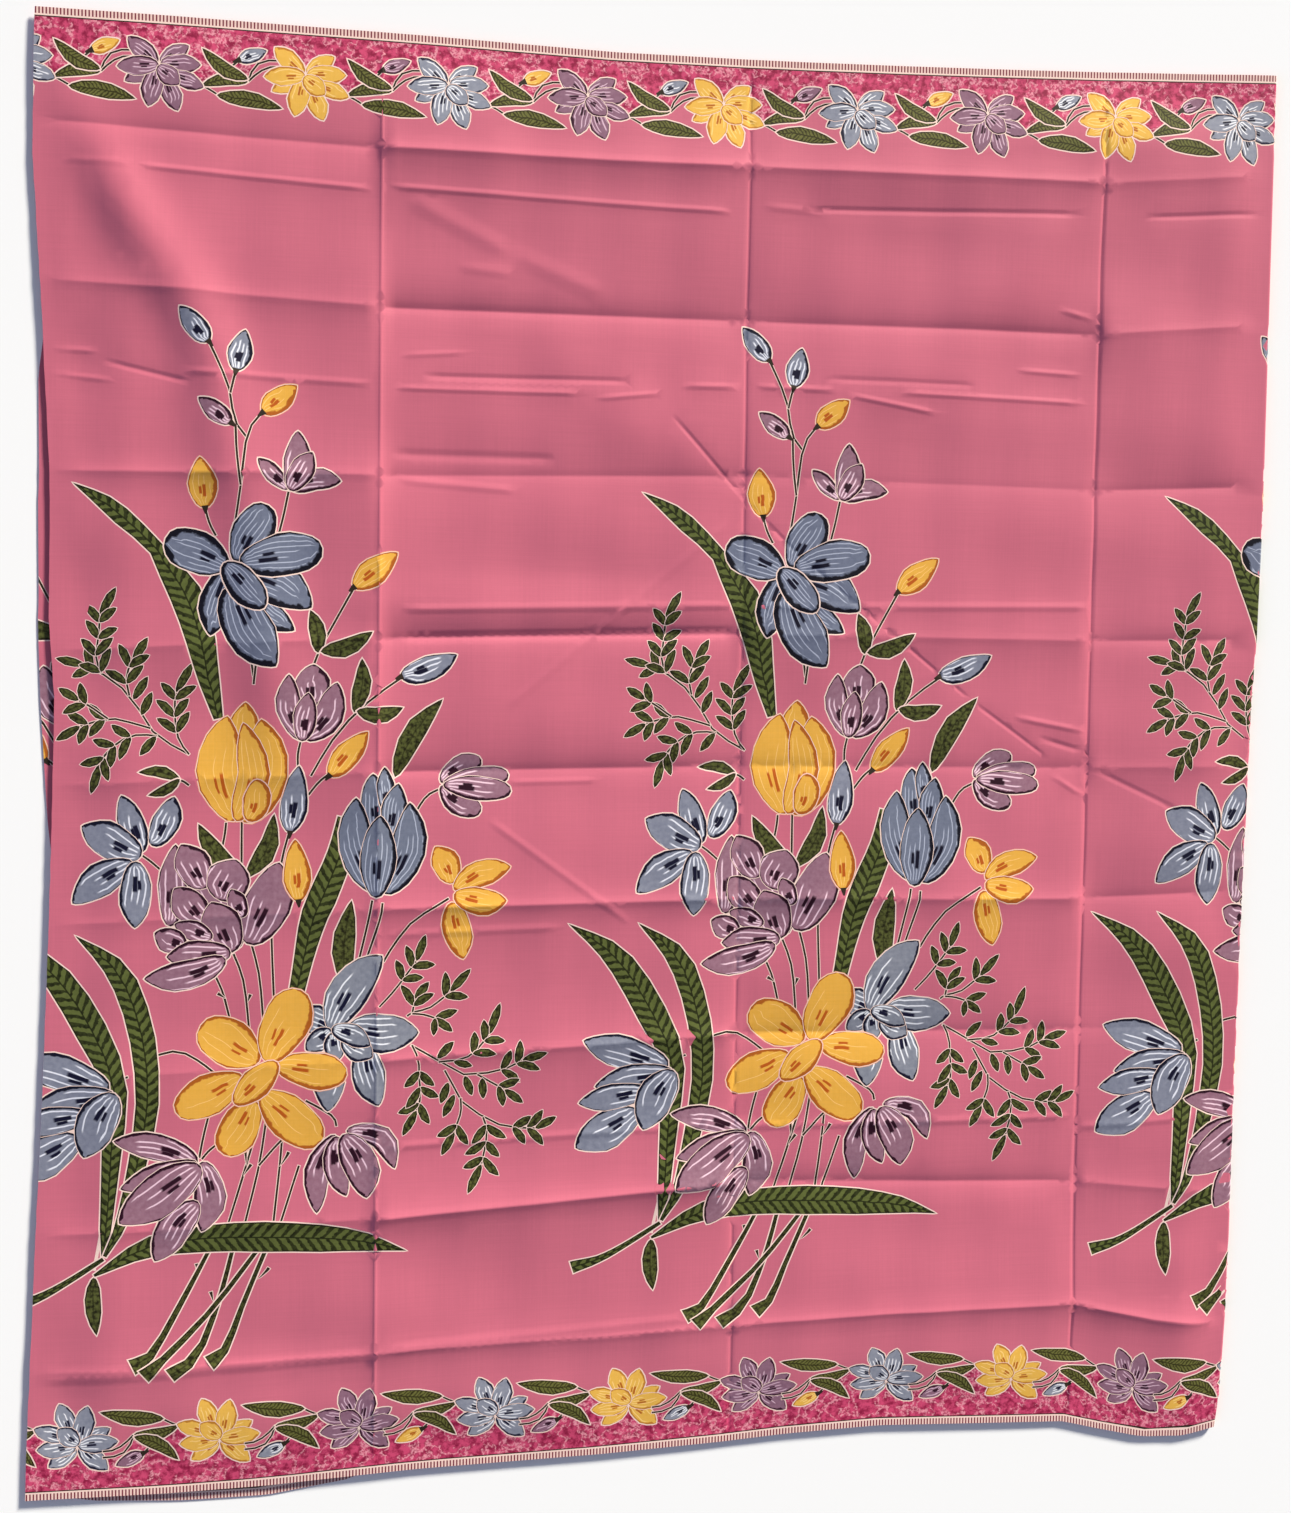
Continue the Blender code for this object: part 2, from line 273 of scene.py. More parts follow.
def stand_off(along, up):
    """How far the upper half's underside stands off the lower half."""
    height = np.full_like(along, REST_LIFT)
    for number, panel in enumerate(PANEL_FOLDS, 1):
        lift = read_table(PANEL_LIFTS, f"fold_{number}", up)
        reach = np.where(along < panel.along, panel.left_reach, panel.right_reach)
        height += lift * crease(along - panel.along, reach)
    for fold in CROSS_FOLDS:
        distance = up - cross_fold_line(fold, along)
        height += cross_fold_lift(fold, along) * crease(distance, CROSS_REACH)
    for swell in SWELLS:
        angle = np.radians(swell.turn)
        right, forward = along - swell.along, up - swell.up
        lengthwise = (right * np.cos(angle) + forward * np.sin(angle)) / swell.length
        sideways = (forward * np.cos(angle) - right * np.sin(angle)) / swell.breadth
        height += swell.lift * np.exp(-lengthwise**2 - sideways**2)
    inside = ramp((HALF_Y - np.abs(up)) / EDGE_REACH) * ramp((along + HALF_X) / EDGE_REACH)
    height *= EDGE_SHARE + (1 - EDGE_SHARE) * inside
    settled = SETTLE * np.log1p(np.exp(height / SETTLE))
    turn_share = ramp(1 - (HALF_X - along) / TURN_REACH)
    at_turn = TURN_HEIGHT - 2 * WALL - SEAM_GAP
    return settled + turn_share * (at_turn - settled)


print("folds in the packet:", len(PANEL_FOLDS), "along and", len(CROSS_FOLDS), "across")

# %% [markdown]
# ## Small creases
# Between the packet folds the cotton kept thin creases from the press: short, low
# ridges that run almost level, each of its own length and depth. They are placed one
# by one, a row each: the two ends, the lift and the half width.

# %% Small creases
WRINKLES = table(
    "x0 y0 x1 y1 lift half_width",
    (-476, 462, -420, 460, 0.4, 3), (-420, 460, -241, 451, 0.82, 2.4),
    (-386, 305, -240, 300, 0.7, 2.6), (-491, 319, -445, 318, 0.6, 2.2),
    (-491, 301, -433, 296, 0.5, 2.2), (-445, 311, -377, 296, -0.7, 2.2),
    (-230, 454, 43, 449, 0.82, 2.4), (-222, 323, -165, 328, 0.5, 2.2),
    (-226, 298, -75, 299, 0.75, 2.2), (-204, 308, -35, 310, -0.8, 2.4),
    (-68, 295, -9, 302, 0.7, 2.2), (2, 308, 52, 309, 0.82, 2.4),
    (-215, 446, -133, 406, 0.8, 7), (-133, 406, -57, 376, 0.7, 7),
    (-178, 394, -128, 390, 0.5, 4), (-228, 247, -93, 247, -0.8, 3.5),
    (-223, 227, -125, 221, 0.6, 3), (-219, 126, 53, 134, 0.9, 3),
    (-219, 104, 53, 113, -1.1, 3.5), (59, 133, 354, 138, 0.8, 3),
    (-230, -131, -87, -126, 0.6, 3), (-137, -10, -56, -8, 0.6, 2.4),
    (-229, -301, 49, -290, 0.8, 3), (-228, -468, 51, -454, 0.7, 4),
    (-500, -480, -237, -471, 0.8, 4), (66, 455, 120, 452, 0.5, 3),
    (98, 454, 334, 459, -0.82, 2.4), (62, 310, 132, 309, 0.82, 2.4),
    (138, 306, 217, 293, 0.75, 2.2), (182, 309, 342, 306, 0.75, 2.2),
    (120, 318, 250, 317, -0.6, 2.4), (281, 331, 341, 329, 0.7, 2.2),
    (316, 382, 350, 375, 0.7, 2.4), (52, -293, 348, -291, 0.8, 3),
    (389, 459, 497, 465, -0.7, 2.2), (350, -301, 492, -292, 0.7, 3),
    (-5, 285, 58, 218, -0.65, 1.9), (58, 218, 103, 174, -0.6, 1.8),
    (103, 174, 250, 59, -0.6, 1.7), (250, 59, 319, 11, -0.6, 1.8),
    (45, 202, -137, 48, 0.4, 3.5), (-149, -39, -32, -124, 0.5, 3),
    (286, 46, 352, 34, 0.8, 2.4), (308, 29, 351, 17, -0.8, 2.4),
    (321, -2, 352, -21, 0.6, 2.4), (358, 3, 439, -34, -0.6, 2.4),
)
END_TAPER = 14.0
SHARP_SHARE = 0.24
SHARP_LEAST = 0.35
SHARP_REACH = 4.0
SHARP_RADIUS = 0.7
SOFT_LIFT = 0.3
PANEL_LINE_LIFTS = (0.7, -0.8, -0.9)
PANEL_LINE_WIDTH = 1.3
RIPPLES = 10
RIPPLE_LIFT = 0.24
ripple_dice = np.random.default_rng(7)
ripple_lengths = ripple_dice.uniform(55, 170, RIPPLES)
ripple_bearings = ripple_dice.uniform(0, math.pi, RIPPLES)
ripple_phases = ripple_dice.uniform(0, 2 * math.pi, RIPPLES)


def wrinkle_frame(row, x, up):
    """Distance from a wrinkle's line, and the share of its lift at that place."""
    reach_x, reach_y = row.x1 - row.x0, row.y1 - row.y0
    length = math.hypot(reach_x, reach_y)
    share = ((x - row.x0) * reach_x + (up - row.y0) * reach_y) / length**2
    across = ((up - row.y0) * reach_x - (x - row.x0) * reach_y) / length
    taper = ramp(share * length / END_TAPER) * ramp((1 - share) * length / END_TAPER)
    return across, taper


def pressed_lines(along, up):
    """The sharp line that the press left along each fold of the packet."""
    lift = np.zeros_like(along)
    for fold in CROSS_FOLDS:
        soft = cross_fold_lift(fold, along)
        sharp = SHARP_SHARE * soft + SHARP_LEAST * soft / (np.abs(soft) + SOFT_LIFT)
        lift += sharp * crease(up - cross_fold_line(fold, along), SHARP_REACH, SHARP_RADIUS)
    for panel, line_lift in zip(PANEL_FOLDS, PANEL_LINE_LIFTS):
        lift += line_lift * np.exp(-((along - panel.along) / PANEL_LINE_WIDTH)**2)
    return lift


def small_relief(x, up):
    """The lift of the sharp lines, the small creases and the cloth's slight waviness."""
    lift = pressed_lines(flat_along(x, up), up)
    for row in WRINKLES:
        across, taper = wrinkle_frame(row, x, up)
        lift += row.lift * taper * np.exp(-(across / row.half_width)**2)
    for length, bearing, phase in zip(ripple_lengths, ripple_bearings, ripple_phases):
        reach = (x * math.cos(bearing) + up * math.sin(bearing)) * 2 * math.pi / length
        lift += RIPPLE_LIFT * np.sin(reach + phase)
    return lift


print("small creases:", len(WRINKLES))

# %% [markdown]
# ## From the flat print to the laid cloth
# The print is drawn on a flat sheet whose coordinates are x along the cloth and up
# across it. One function carries a flat point to its place: through the creases, up
# to the turn, round it, and on along the short leg below. It also gives the normal.

# %% Flat to laid
TURN_LENGTH = math.pi * TURN_RADIUS
LEG_LENGTH = TURN_LEG - TURN_RADIUS
EDGE_FADE = 30.0
SLOPE_STEP = 0.4
SOLVING_ROUNDS = 4


def unit(vectors):
    """The same directions, each of length one."""
    return vectors / np.maximum(np.linalg.norm(vectors, axis=1), 1e-6)[:, None]


def nearness(distance):
    """1 at an edge, falling to 0 where its own shape no longer matters."""
    return ramp(1 - distance / OUTLINE_REACH)


def turn_start(up):
    """Where the turn at the right begins, for each height on the cloth."""
    return HALF_X - TURN_RADIUS + read_table(SIDE_STATIONS, "right", up)


def left_edge(up):
    """Where the left cut edge of the upper half lies."""
    return -HALF_X + read_table(SIDE_STATIONS, "left", up)


def flat_along(x, up):
    """The plain distance along the cloth for a point that the uneven sides have moved."""
    left = read_table(SIDE_STATIONS, "left", up)
    right = read_table(SIDE_STATIONS, "right", up)
    along = x
    for _ in range(SOLVING_ROUNDS):
        along = x - nearness(along + HALF_X) * left - nearness(HALF_X - along) * right
    return along


def hem_shift(along, up):
    """How far a point moves with the bow of the nearer hem."""
    lower = read_table(HEM_STATIONS, "lower", along)
    upper = read_table(HEM_STATIONS, "upper", along)
    return nearness(up + HALF_Y) * lower + nearness(HALF_Y - up) * upper


def top_height(x, up):
    """Height of the upper half's printed face above the table, before the turn."""
    along = flat_along(x, up)
    to_edge = np.minimum(HALF_Y - np.abs(up), np.minimum(x - left_edge(up), turn_start(up) - x))
    fade = ramp(to_edge / EDGE_FADE)
    return 2 * WALL + SEAM_GAP + stand_off(along, up) + fade * small_relief(x, up)


def lay_front(flat, depth=0.0):
    """Places and outward normals of flat points, at a depth below the printed face."""
    x, up = flat[:, 0], flat[:, 1]
    start = turn_start(up)
    level = np.minimum(x, start)
    height = top_height(level, up)
    slope_x = (top_height(np.minimum(level + SLOPE_STEP, start), up)
               - top_height(level - SLOPE_STEP, up)) / (2 * SLOPE_STEP)
    slope_y = (top_height(level, np.minimum(up + SLOPE_STEP, HALF_Y))
               - top_height(level, np.maximum(up - SLOPE_STEP, -HALF_Y))) / (2 * SLOPE_STEP)
    past = np.maximum(x - start, 0.0)
    angle = np.minimum(past / TURN_RADIUS, math.pi)
    radius = TURN_RADIUS - depth
    turned = past > 0
    on_leg = np.maximum(past - TURN_LENGTH, 0.0)
    placed = np.column_stack([
        np.where(turned, start + radius * np.sin(angle) - on_leg, x),
        up + hem_shift(flat_along(level, up), up),
        np.where(turned, TURN_RADIUS + radius * np.cos(angle), height - depth)])
    normal = np.column_stack([
        np.where(turned, np.sin(angle), -slope_x),
        np.where(turned, 0.0, -slope_y),
        np.where(turned, np.cos(angle), 1.0)])
    return placed, unit(normal)


print("the print runs", round(TURN_LENGTH + LEG_LENGTH, 1), "mm round the turn")

# %% [markdown]
# ## One painted mark
# The printer's drawing is made of a few kinds of mark: petals, buds, leaves, straps
# and stems. All are a blade, a spine with a width along it. A blade gives an outline
# for its dye and, just outside it, the thin cream line that the wax left.

# %% Marks of the print
RESIST = 1.0
THIN_RESIST = 0.5
PETAL_GAP = 0.5
CORNER_CUT = 1.6
EDGE_WAVE = 0.05
LEAST_HALF = 0.05
CURVE_STEPS = 8
Profile = namedtuple("Profile", "peak base tip")
PROFILES = {
    "round": Profile(0.58, 0.50, 0.42),
    "pointed": Profile(0.52, 0.46, 0.72),
    "bud": Profile(0.42, 0.50, 0.75),
    "leaf": Profile(0.46, 0.62, 0.85),
    "leaflet": Profile(0.50, 0.60, 0.72),
    "oval": Profile(0.50, 0.50, 0.50),
}
Mark = namedtuple("Mark", "loop dye spine half hand")
mark_dice = np.random.default_rng(11)


def step_lengths(line):
    """The length of each step of a line."""
    return np.linalg.norm(np.diff(line, axis=0), axis=1)


def distance_gone(line):
    """The distance gone along a line at each of its points."""
    return np.concatenate([[0], np.cumsum(step_lengths(line))])


def smooth_line(points, count):
    """A smooth curve through a few points, as count points spaced closer at both ends."""
    points = np.array(points, float)
    if len(points) == 2:
        knots = points
    else:
        padded = np.vstack([2 * points[0] - points[1], points, 2 * points[-1] - points[-2]])
        share = np.linspace(0, 1, CURVE_STEPS + 1)[:-1][:, None]
        knots = []
        for a, b, c, d in zip(padded, padded[1:], padded[2:], padded[3:]):
            knots.append(0.5 * (2 * b + (c - a) * share + (2 * a - 5 * b + 4 * c - d) * share**2
                                + (3 * b - a - 3 * c + d) * share**3))
        knots = np.vstack(knots + [points[-1:]])
    gone = distance_gone(knots)
    wanted = gone[-1] * (0.5 - 0.5 * np.cos(np.linspace(0, math.pi, count)))
    return np.column_stack([np.interp(wanted, gone, knots[:, 0]), np.interp(wanted, gone, knots[:, 1])])


def share_along(spine):
    """The share of its length at each point of a spine."""
    gone = distance_gone(spine)
    return gone / gone[-1]


def profile_width(share, profile):
    """The share of a blade's full width at each share of its length."""
    rise = np.sin(0.5 * math.pi * np.clip(share / profile.peak, 0, 1))**profile.base
    fall = np.cos(0.5 * math.pi * np.clip((share - profile.peak) / (1 - profile.peak), 0, 1))**profile.tip
    return np.minimum(rise, fall)


def grown(loop, margin):
    """An outline moved outwards by a margin, its sharp corners cut short."""
    after = unit(np.roll(loop, -1, axis=0) - loop)
    before = np.roll(after, 1, axis=0)
    out = np.column_stack([after[:, 1], -after[:, 0]]) + np.column_stack([before[:, 1], -before[:, 0]])
    size = np.maximum(np.linalg.norm(out, axis=1), 1e-6)[:, None]
    stretch = np.minimum(2.0 / size, CORNER_CUT)
    return loop + out / size * stretch * margin


def blade(points, widths, dye, profile=None, stations=9, resist=RESIST):
    """The cream outline and the dyed mark of one blade."""
    spine = smooth_line(points, stations)
    share = share_along(spine)
    if profile:
        half = 0.5 * widths * profile_width(share, PROFILES[profile])
    else:
        widths = np.broadcast_to(widths, (len(points),))
        half = 0.5 * np.interp(share, share_along(np.array(points, float)), widths)
    heading = unit(np.gradient(spine, axis=0))
    side = np.column_stack([heading[:, 1], -heading[:, 0]]) * np.maximum(half, 0.0)[:, None]
    hand = float(mark_dice.uniform())
    right = spine + side * (1 + EDGE_WAVE * np.sin(9 * share + 6 * hand))[:, None]
    left = spine - side * (1 + EDGE_WAVE * np.sin(11 * share + 15 * hand))[:, None]
    wide = half > LEAST_HALF
    tip = spine[-1:] if half[-1] <= LEAST_HALF else spine[:0]
    foot = spine[:1] if half[0] <= LEAST_HALF else spine[:0]
    loop = np.vstack([right[wide], tip, left[wide][::-1], foot])
    marks = [Mark(grown(loop, resist), "resist", None, None, hand)] if resist else []
    return marks + [Mark(loop, dye, spine, np.maximum(half, LEAST_HALF), hand)]


def petal_spine(row):
    """The spine of a petal, bowed sideways by its bend."""
    base, tip = np.array([row.x0, row.y0], float), np.array([row.x1, row.y1], float)
    side = np.array([tip[1] - base[1], base[0] - tip[0]])
    return [base, (base + tip) / 2 + row.bend * side, tip]


def carried(marks, place):
    """The marks with their outlines and spines carried to another place."""
    made = []
    for mark in marks:
        spine = None if mark.spine is None else place(mark.spine)
        made.append(mark._replace(loop=place(mark.loop), spine=spine))
    return made


print("kinds of blade:", ", ".join(PROFILES))

# %% [markdown]
# ## The bouquet
# One bouquet repeats along the cloth. Every petal, bud and leaf is a row: where it
# starts, where its tip is, how wide it is and how much it bows. The rows are in
# millimetres, in whole numbers, for the bouquet at the left, drawn in the manner of
# the printed flowers. What is listed later lies on top.

# %% Stems and straps of the bouquet
STEM_WIDTH = 1.7
STEMS = (
    ((-365, 327), (-356, 308), (-349, 289), (-346, 269), (-337, 256)),
    ((-345, 306), (-347, 298), (-349, 289)),
    ((-325, 275), (-332, 267), (-337, 254), (-341, 219), (-345, 192)),
    ((-345, 264), (-344, 244), (-341, 219)),
    ((-368, 201), (-365, 190), (-360, 180)),
    ((-305, 215), (-308, 200), (-312, 183)),
    ((-338, 110), (-334, 92), (-331, 72)),
    ((-328, 98), (-329, 84), (-331, 66)),
    ((-254, 143), (-266, 121), (-279, 97), (-285, 82)),
    ((-295, 22), (-297, 12), (-297, 2)),
    ((-304, -51), (-307, -62), (-310, -76)),
    ((-218, 72), (-236, 59), (-255, 42), (-272, 21), (-287, -5)),
    ((-274, -4), (-281, -10), (-289, -20)),
    ((-186, -15), (-197, -21), (-207, -36)),
    ((-179, -102), (-207, -120), (-222, -139), (-230, -152)),
    ((-380, -13), (-384, -10), (-389, -8)),
    ((-416, -67), (-409, -72), (-400, -80)),
    ((-340, -40), (-340, -58), (-340, -80)),
    ((-352, -42), (-353, -52), (-356, -66)),
    ((-360, -162), (-354, -176), (-348, -200)),
    ((-346, -145), (-338, -168), (-333, -215)),
    ((-332, -138), (-326, -164), (-322, -212)),
    ((-317, -129), (-316, -155), (-314, -200)),
    ((-265, -69), (-262, -74), (-262, -81)),
    ((-239, -103), (-243, -124), (-249, -150)),
    ((-231, -105), (-233, -118), (-244, -152)),
    ((-266, -283), (-268, -276), (-276, -270), (-290, -262)),
    ((-408, -225), (-389, -221), (-374, -228), (-361, -238)),
    ((-445, -254), (-437, -245), (-426, -240)),
    ((-320, -273), (-326, -313), (-337, -360)),
    ((-328, -285), (-338, -320), (-350, -360)),
    ((-308, -288), (-310, -314), (-315, -362)),
    ((-295, -314), (-302, -336), (-310, -362)),
    ((-303, -288), (-314, -299), (-326, -313)),
    ((-370, -307), (-365, -301), (-359, -296)),
    ((-362, -262), (-368, -285), (-372, -306)),
)
CUT_STEM_WIDTHS = (3.0, 3.8, 5.5, 12.5)
CUT_STEMS = (
    ((-364, -379), (-380, -410), (-407, -459), (-423, -470)),
    ((-346, -379), (-357, -421), (-373, -462), (-394, -478)),
    ((-326, -379), (-362, -427), (-400, -466), (-414, -478)),
    ((-320, -379), (-339, -426), (-351, -459), (-364, -470)),
)
CANE = ((-433, -296), (-442, -338), (-452, -393))
CANE_WIDTH = 2.6
THORN_WIDTHS = (2.6, 1.6, 0.0)
THORNS = (
    ((-374, -390), (-373, -395), (-373, -400)), ((-363, -413), (-362, -417), (-361, -421)),
    ((-318, -395), (-322, -400), (-327, -404)), ((-358, -176), (-355, -178), (-352, -180)),
    ((-333, -177), (-334, -180), (-335, -183)), ((-337, -299), (-336, -306), (-336, -313)),
    ((-332, -312), (-335, -316), (-338, -321)), ((-303, -303), (-306, -309), (-310, -314)),
)
STRAPS = table(
    "spine widths",
    (((-467, 218), (-444, 204), (-429, 192), (-407, 172), (-395, 154), (-382, 133), (-372, 104),
     (-366, 73), (-358, 39)), (0, 12, 15, 10, 17, 24, 24, 18, 7)),
    (((-257, -39), (-265, -69), (-276, -97), (-286, -122), (-298, -178)), (19, 21, 22, 19, 12)),
    (((-523, -130), (-485, -157), (-457, -198), (-437, -245), (-439, -300), (-443, -360), (-445, -382)),
     (0, 19, 25, 20, 15, 9, 3)),
    (((-466, -130), (-433, -160), (-416, -207), (-411, -251), (-415, -289), (-430, -352), (-444, -382)),
     (0, 19, 20, 18, 15, 10, 3)),
    (((-210, -385), (-239, -377), (-271, -373), (-326, -370), (-371, -370), (-412, -376), (-452, -397)),
     (0, 14, 21, 25, 22, 16, 2)),
    (((-445, -384), (-471, -401), (-495, -414), (-517, -421)), (3, 4.4, 6, 11)),
)
print("stems:", len(STEMS) + len(CUT_STEMS), " straps:", len(STRAPS))

# %% [markdown]
# ## Leaves and ferns
# A leaf is a blade with the width of a leaf's profile. A fern would be long to draw
# by hand, so a row gives only its stalk, its tip and how many pairs of leaflets it
# has. The pairs come from a rule, and each leaflet leans and grows a little unevenly.

# %% Leaves and ferns of the bouquet
Petal = namedtuple("Petal", "x0 y0 x1 y1 width bend", defaults=(0.0,))


def petals(*rows):
    """Petals, buds or leaves from rows: base, tip, width and, where it bows, the bend."""
    return tuple(Petal(*row) for row in rows)


LEAVES = petals(
    (-282, 91, -288, 124, 13, 0.08), (-280, 92, -240, 108, 14, 0.10),
    (-254, 45, -248, 87, 14, 0.08), (-252, 46, -216, 49, 13, 0.14),
    (-222, -6, -185, 56, 17, -0.08), (-387, -8, -418, -3, 9, 0.10),
    (-387, -8, -411, -21, 8, -0.10), (-337, -85, -373, -43, 16, -0.10),
    (-337, -85, -315, -35, 15, 0.12), (-260, -172, -255, -103, 18, -0.05),
    (-452, -398, -450, -444, 13, 0.04),
)
LEAFLET = 19.0
LEAFLET_WIDTH = 7.2
LEAFLET_STEP = 13.0
FIRST_PAIR = 6.0
LEAFLET_ANGLE = 46.0
LEAFLET_SLIMNESS = 0.42
LEAFLET_BEND = 0.05
ANGLE_SPREAD = (-8, 8)
SIZE_SPREAD = (0.88, 1.06)
STALK_WIDTH = 1.5
STALK_POINTS = 60
FERNS = table(
    "spine tip pairs",
    (((-380, 11), (-405, 26), (-418, 46), (-426, 58), (-446, 73), (-458, 79)), (-480, 84), 1),
    (((-446, 73), (-450, 85), (-448, 101), (-447, 118)), (-435, 139), 4),
    (((-425, 56), (-427, 68), (-425, 78), (-422, 83)), (-411, 101), 2),
    (((-409, 31), (-427, 36), (-441, 38), (-462, 32)), (-480, 21), 2),
    (((-441, 38), (-454, 47), (-463, 52)), (-478, 61), 1),
    (((-404, 25), (-418, 26), (-430, 22), (-441, 13), (-447, 3)), (-454, -20), 3),
    (((-380, 11), (-388, 23), (-391, 43), (-390, 59)), (-377, 82), 3),
    (((-233, -188), (-222, -176), (-212, -163), (-204, -152)), (-197, -131), 2),
    (((-211, -196), (-207, -193), (-194, -190), (-184, -183), (-177, -177)), (-161, -159), 1),
    (((-207, -194), (-206, -188), (-205, -182)), (-194, -169), 1),
    (((-207, -194), (-198, -195), (-189, -198)), (-171, -192), 0),
    (((-208, -219), (-187, -231), (-168, -243), (-155, -244), (-142, -242), (-130, -239), (-119, -233)),
     (-99, -227), 2),
    (((-155, -244), (-145, -250), (-133, -257)), (-118, -268), 1),
    (((-186, -233), (-174, -232), (-166, -231), (-155, -223), (-146, -212)), (-137, -187), 2),
    (((-181, -240), (-174, -253), (-168, -265), (-151, -278), (-138, -285), (-125, -288), (-108, -289)),
     (-91, -280), 2),
    (((-168, -263), (-168, -275), (-173, -290)), (-183, -309), 1),
    (((-150, -279), (-147, -289), (-148, -302), (-151, -317)), (-162, -340), 3),
    (((-207, -219), (-202, -231), (-201, -249), (-200, -261), (-203, -272)), (-214, -292), 3),
)
LONE_LEAFLETS = (
    ((-422, 53), (-411, 71)), ((-416, 41), (-408, 59)), ((-405, 25), (-417, 10)),
    ((-189, -198), (-175, -209)), ((-189, -198), (-190, -212)), ((-165, -245), (-159, -261)),
    ((-151, -247), (-150, -264)), ((-187, -230), (-174, -217)), ((-174, -233), (-159, -237)),
    ((-178, -250), (-184, -267)), ((-173, -260), (-182, -278)),
)


def leaflet(root, tip, bend=0.0):
    """One small leaf of a fern."""
    size = math.hypot(tip[0] - root[0], tip[1] - root[1])
    row = Petal(*root, *tip, min(LEAFLET_WIDTH, LEAFLET_SLIMNESS * size), bend)
    return blade(petal_spine(row), row.width, "leaf", "leaflet", stations=6, resist=THIN_RESIST)


def fern_branch(branch):
    """A thin stalk with a leaflet at its tip and pairs of them below it."""
    marks = blade(branch.spine, STALK_WIDTH, "stem", stations=9, resist=THIN_RESIST)
    line = smooth_line(branch.spine, STALK_POINTS)
    share = share_along(line)
    length = step_lengths(line).sum()
    marks += leaflet(branch.spine[-1], branch.tip)
    for number in range(branch.pairs):
        at = int(np.argmin(np.abs(share - (1 - (FIRST_PAIR + number * LEAFLET_STEP) / length))))
        heading = line[min(at + 2, STALK_POINTS - 1)] - line[max(at - 2, 0)]
        bearing = math.atan2(heading[1], heading[0])
        for side in (1.0, -1.0):
            lean = bearing + side * math.radians(LEAFLET_ANGLE + mark_dice.uniform(*ANGLE_SPREAD))
            size = LEAFLET * mark_dice.uniform(*SIZE_SPREAD)
            tip = line[at] + size * np.array([math.cos(lean), math.sin(lean)])
            marks += leaflet(line[at], tip, LEAFLET_BEND * side)
    return marks


print("leaves:", len(LEAVES), " fern branches:", len(FERNS))

# %% [markdown]
# ## Flowers and buds
# A flower is a list of petals, and each petal is a row: its base, its tip, its width
# and its bow. A later petal lies over an earlier one. The wax line runs round the
# whole flower, and inside it only a thin line parts one petal from the next.

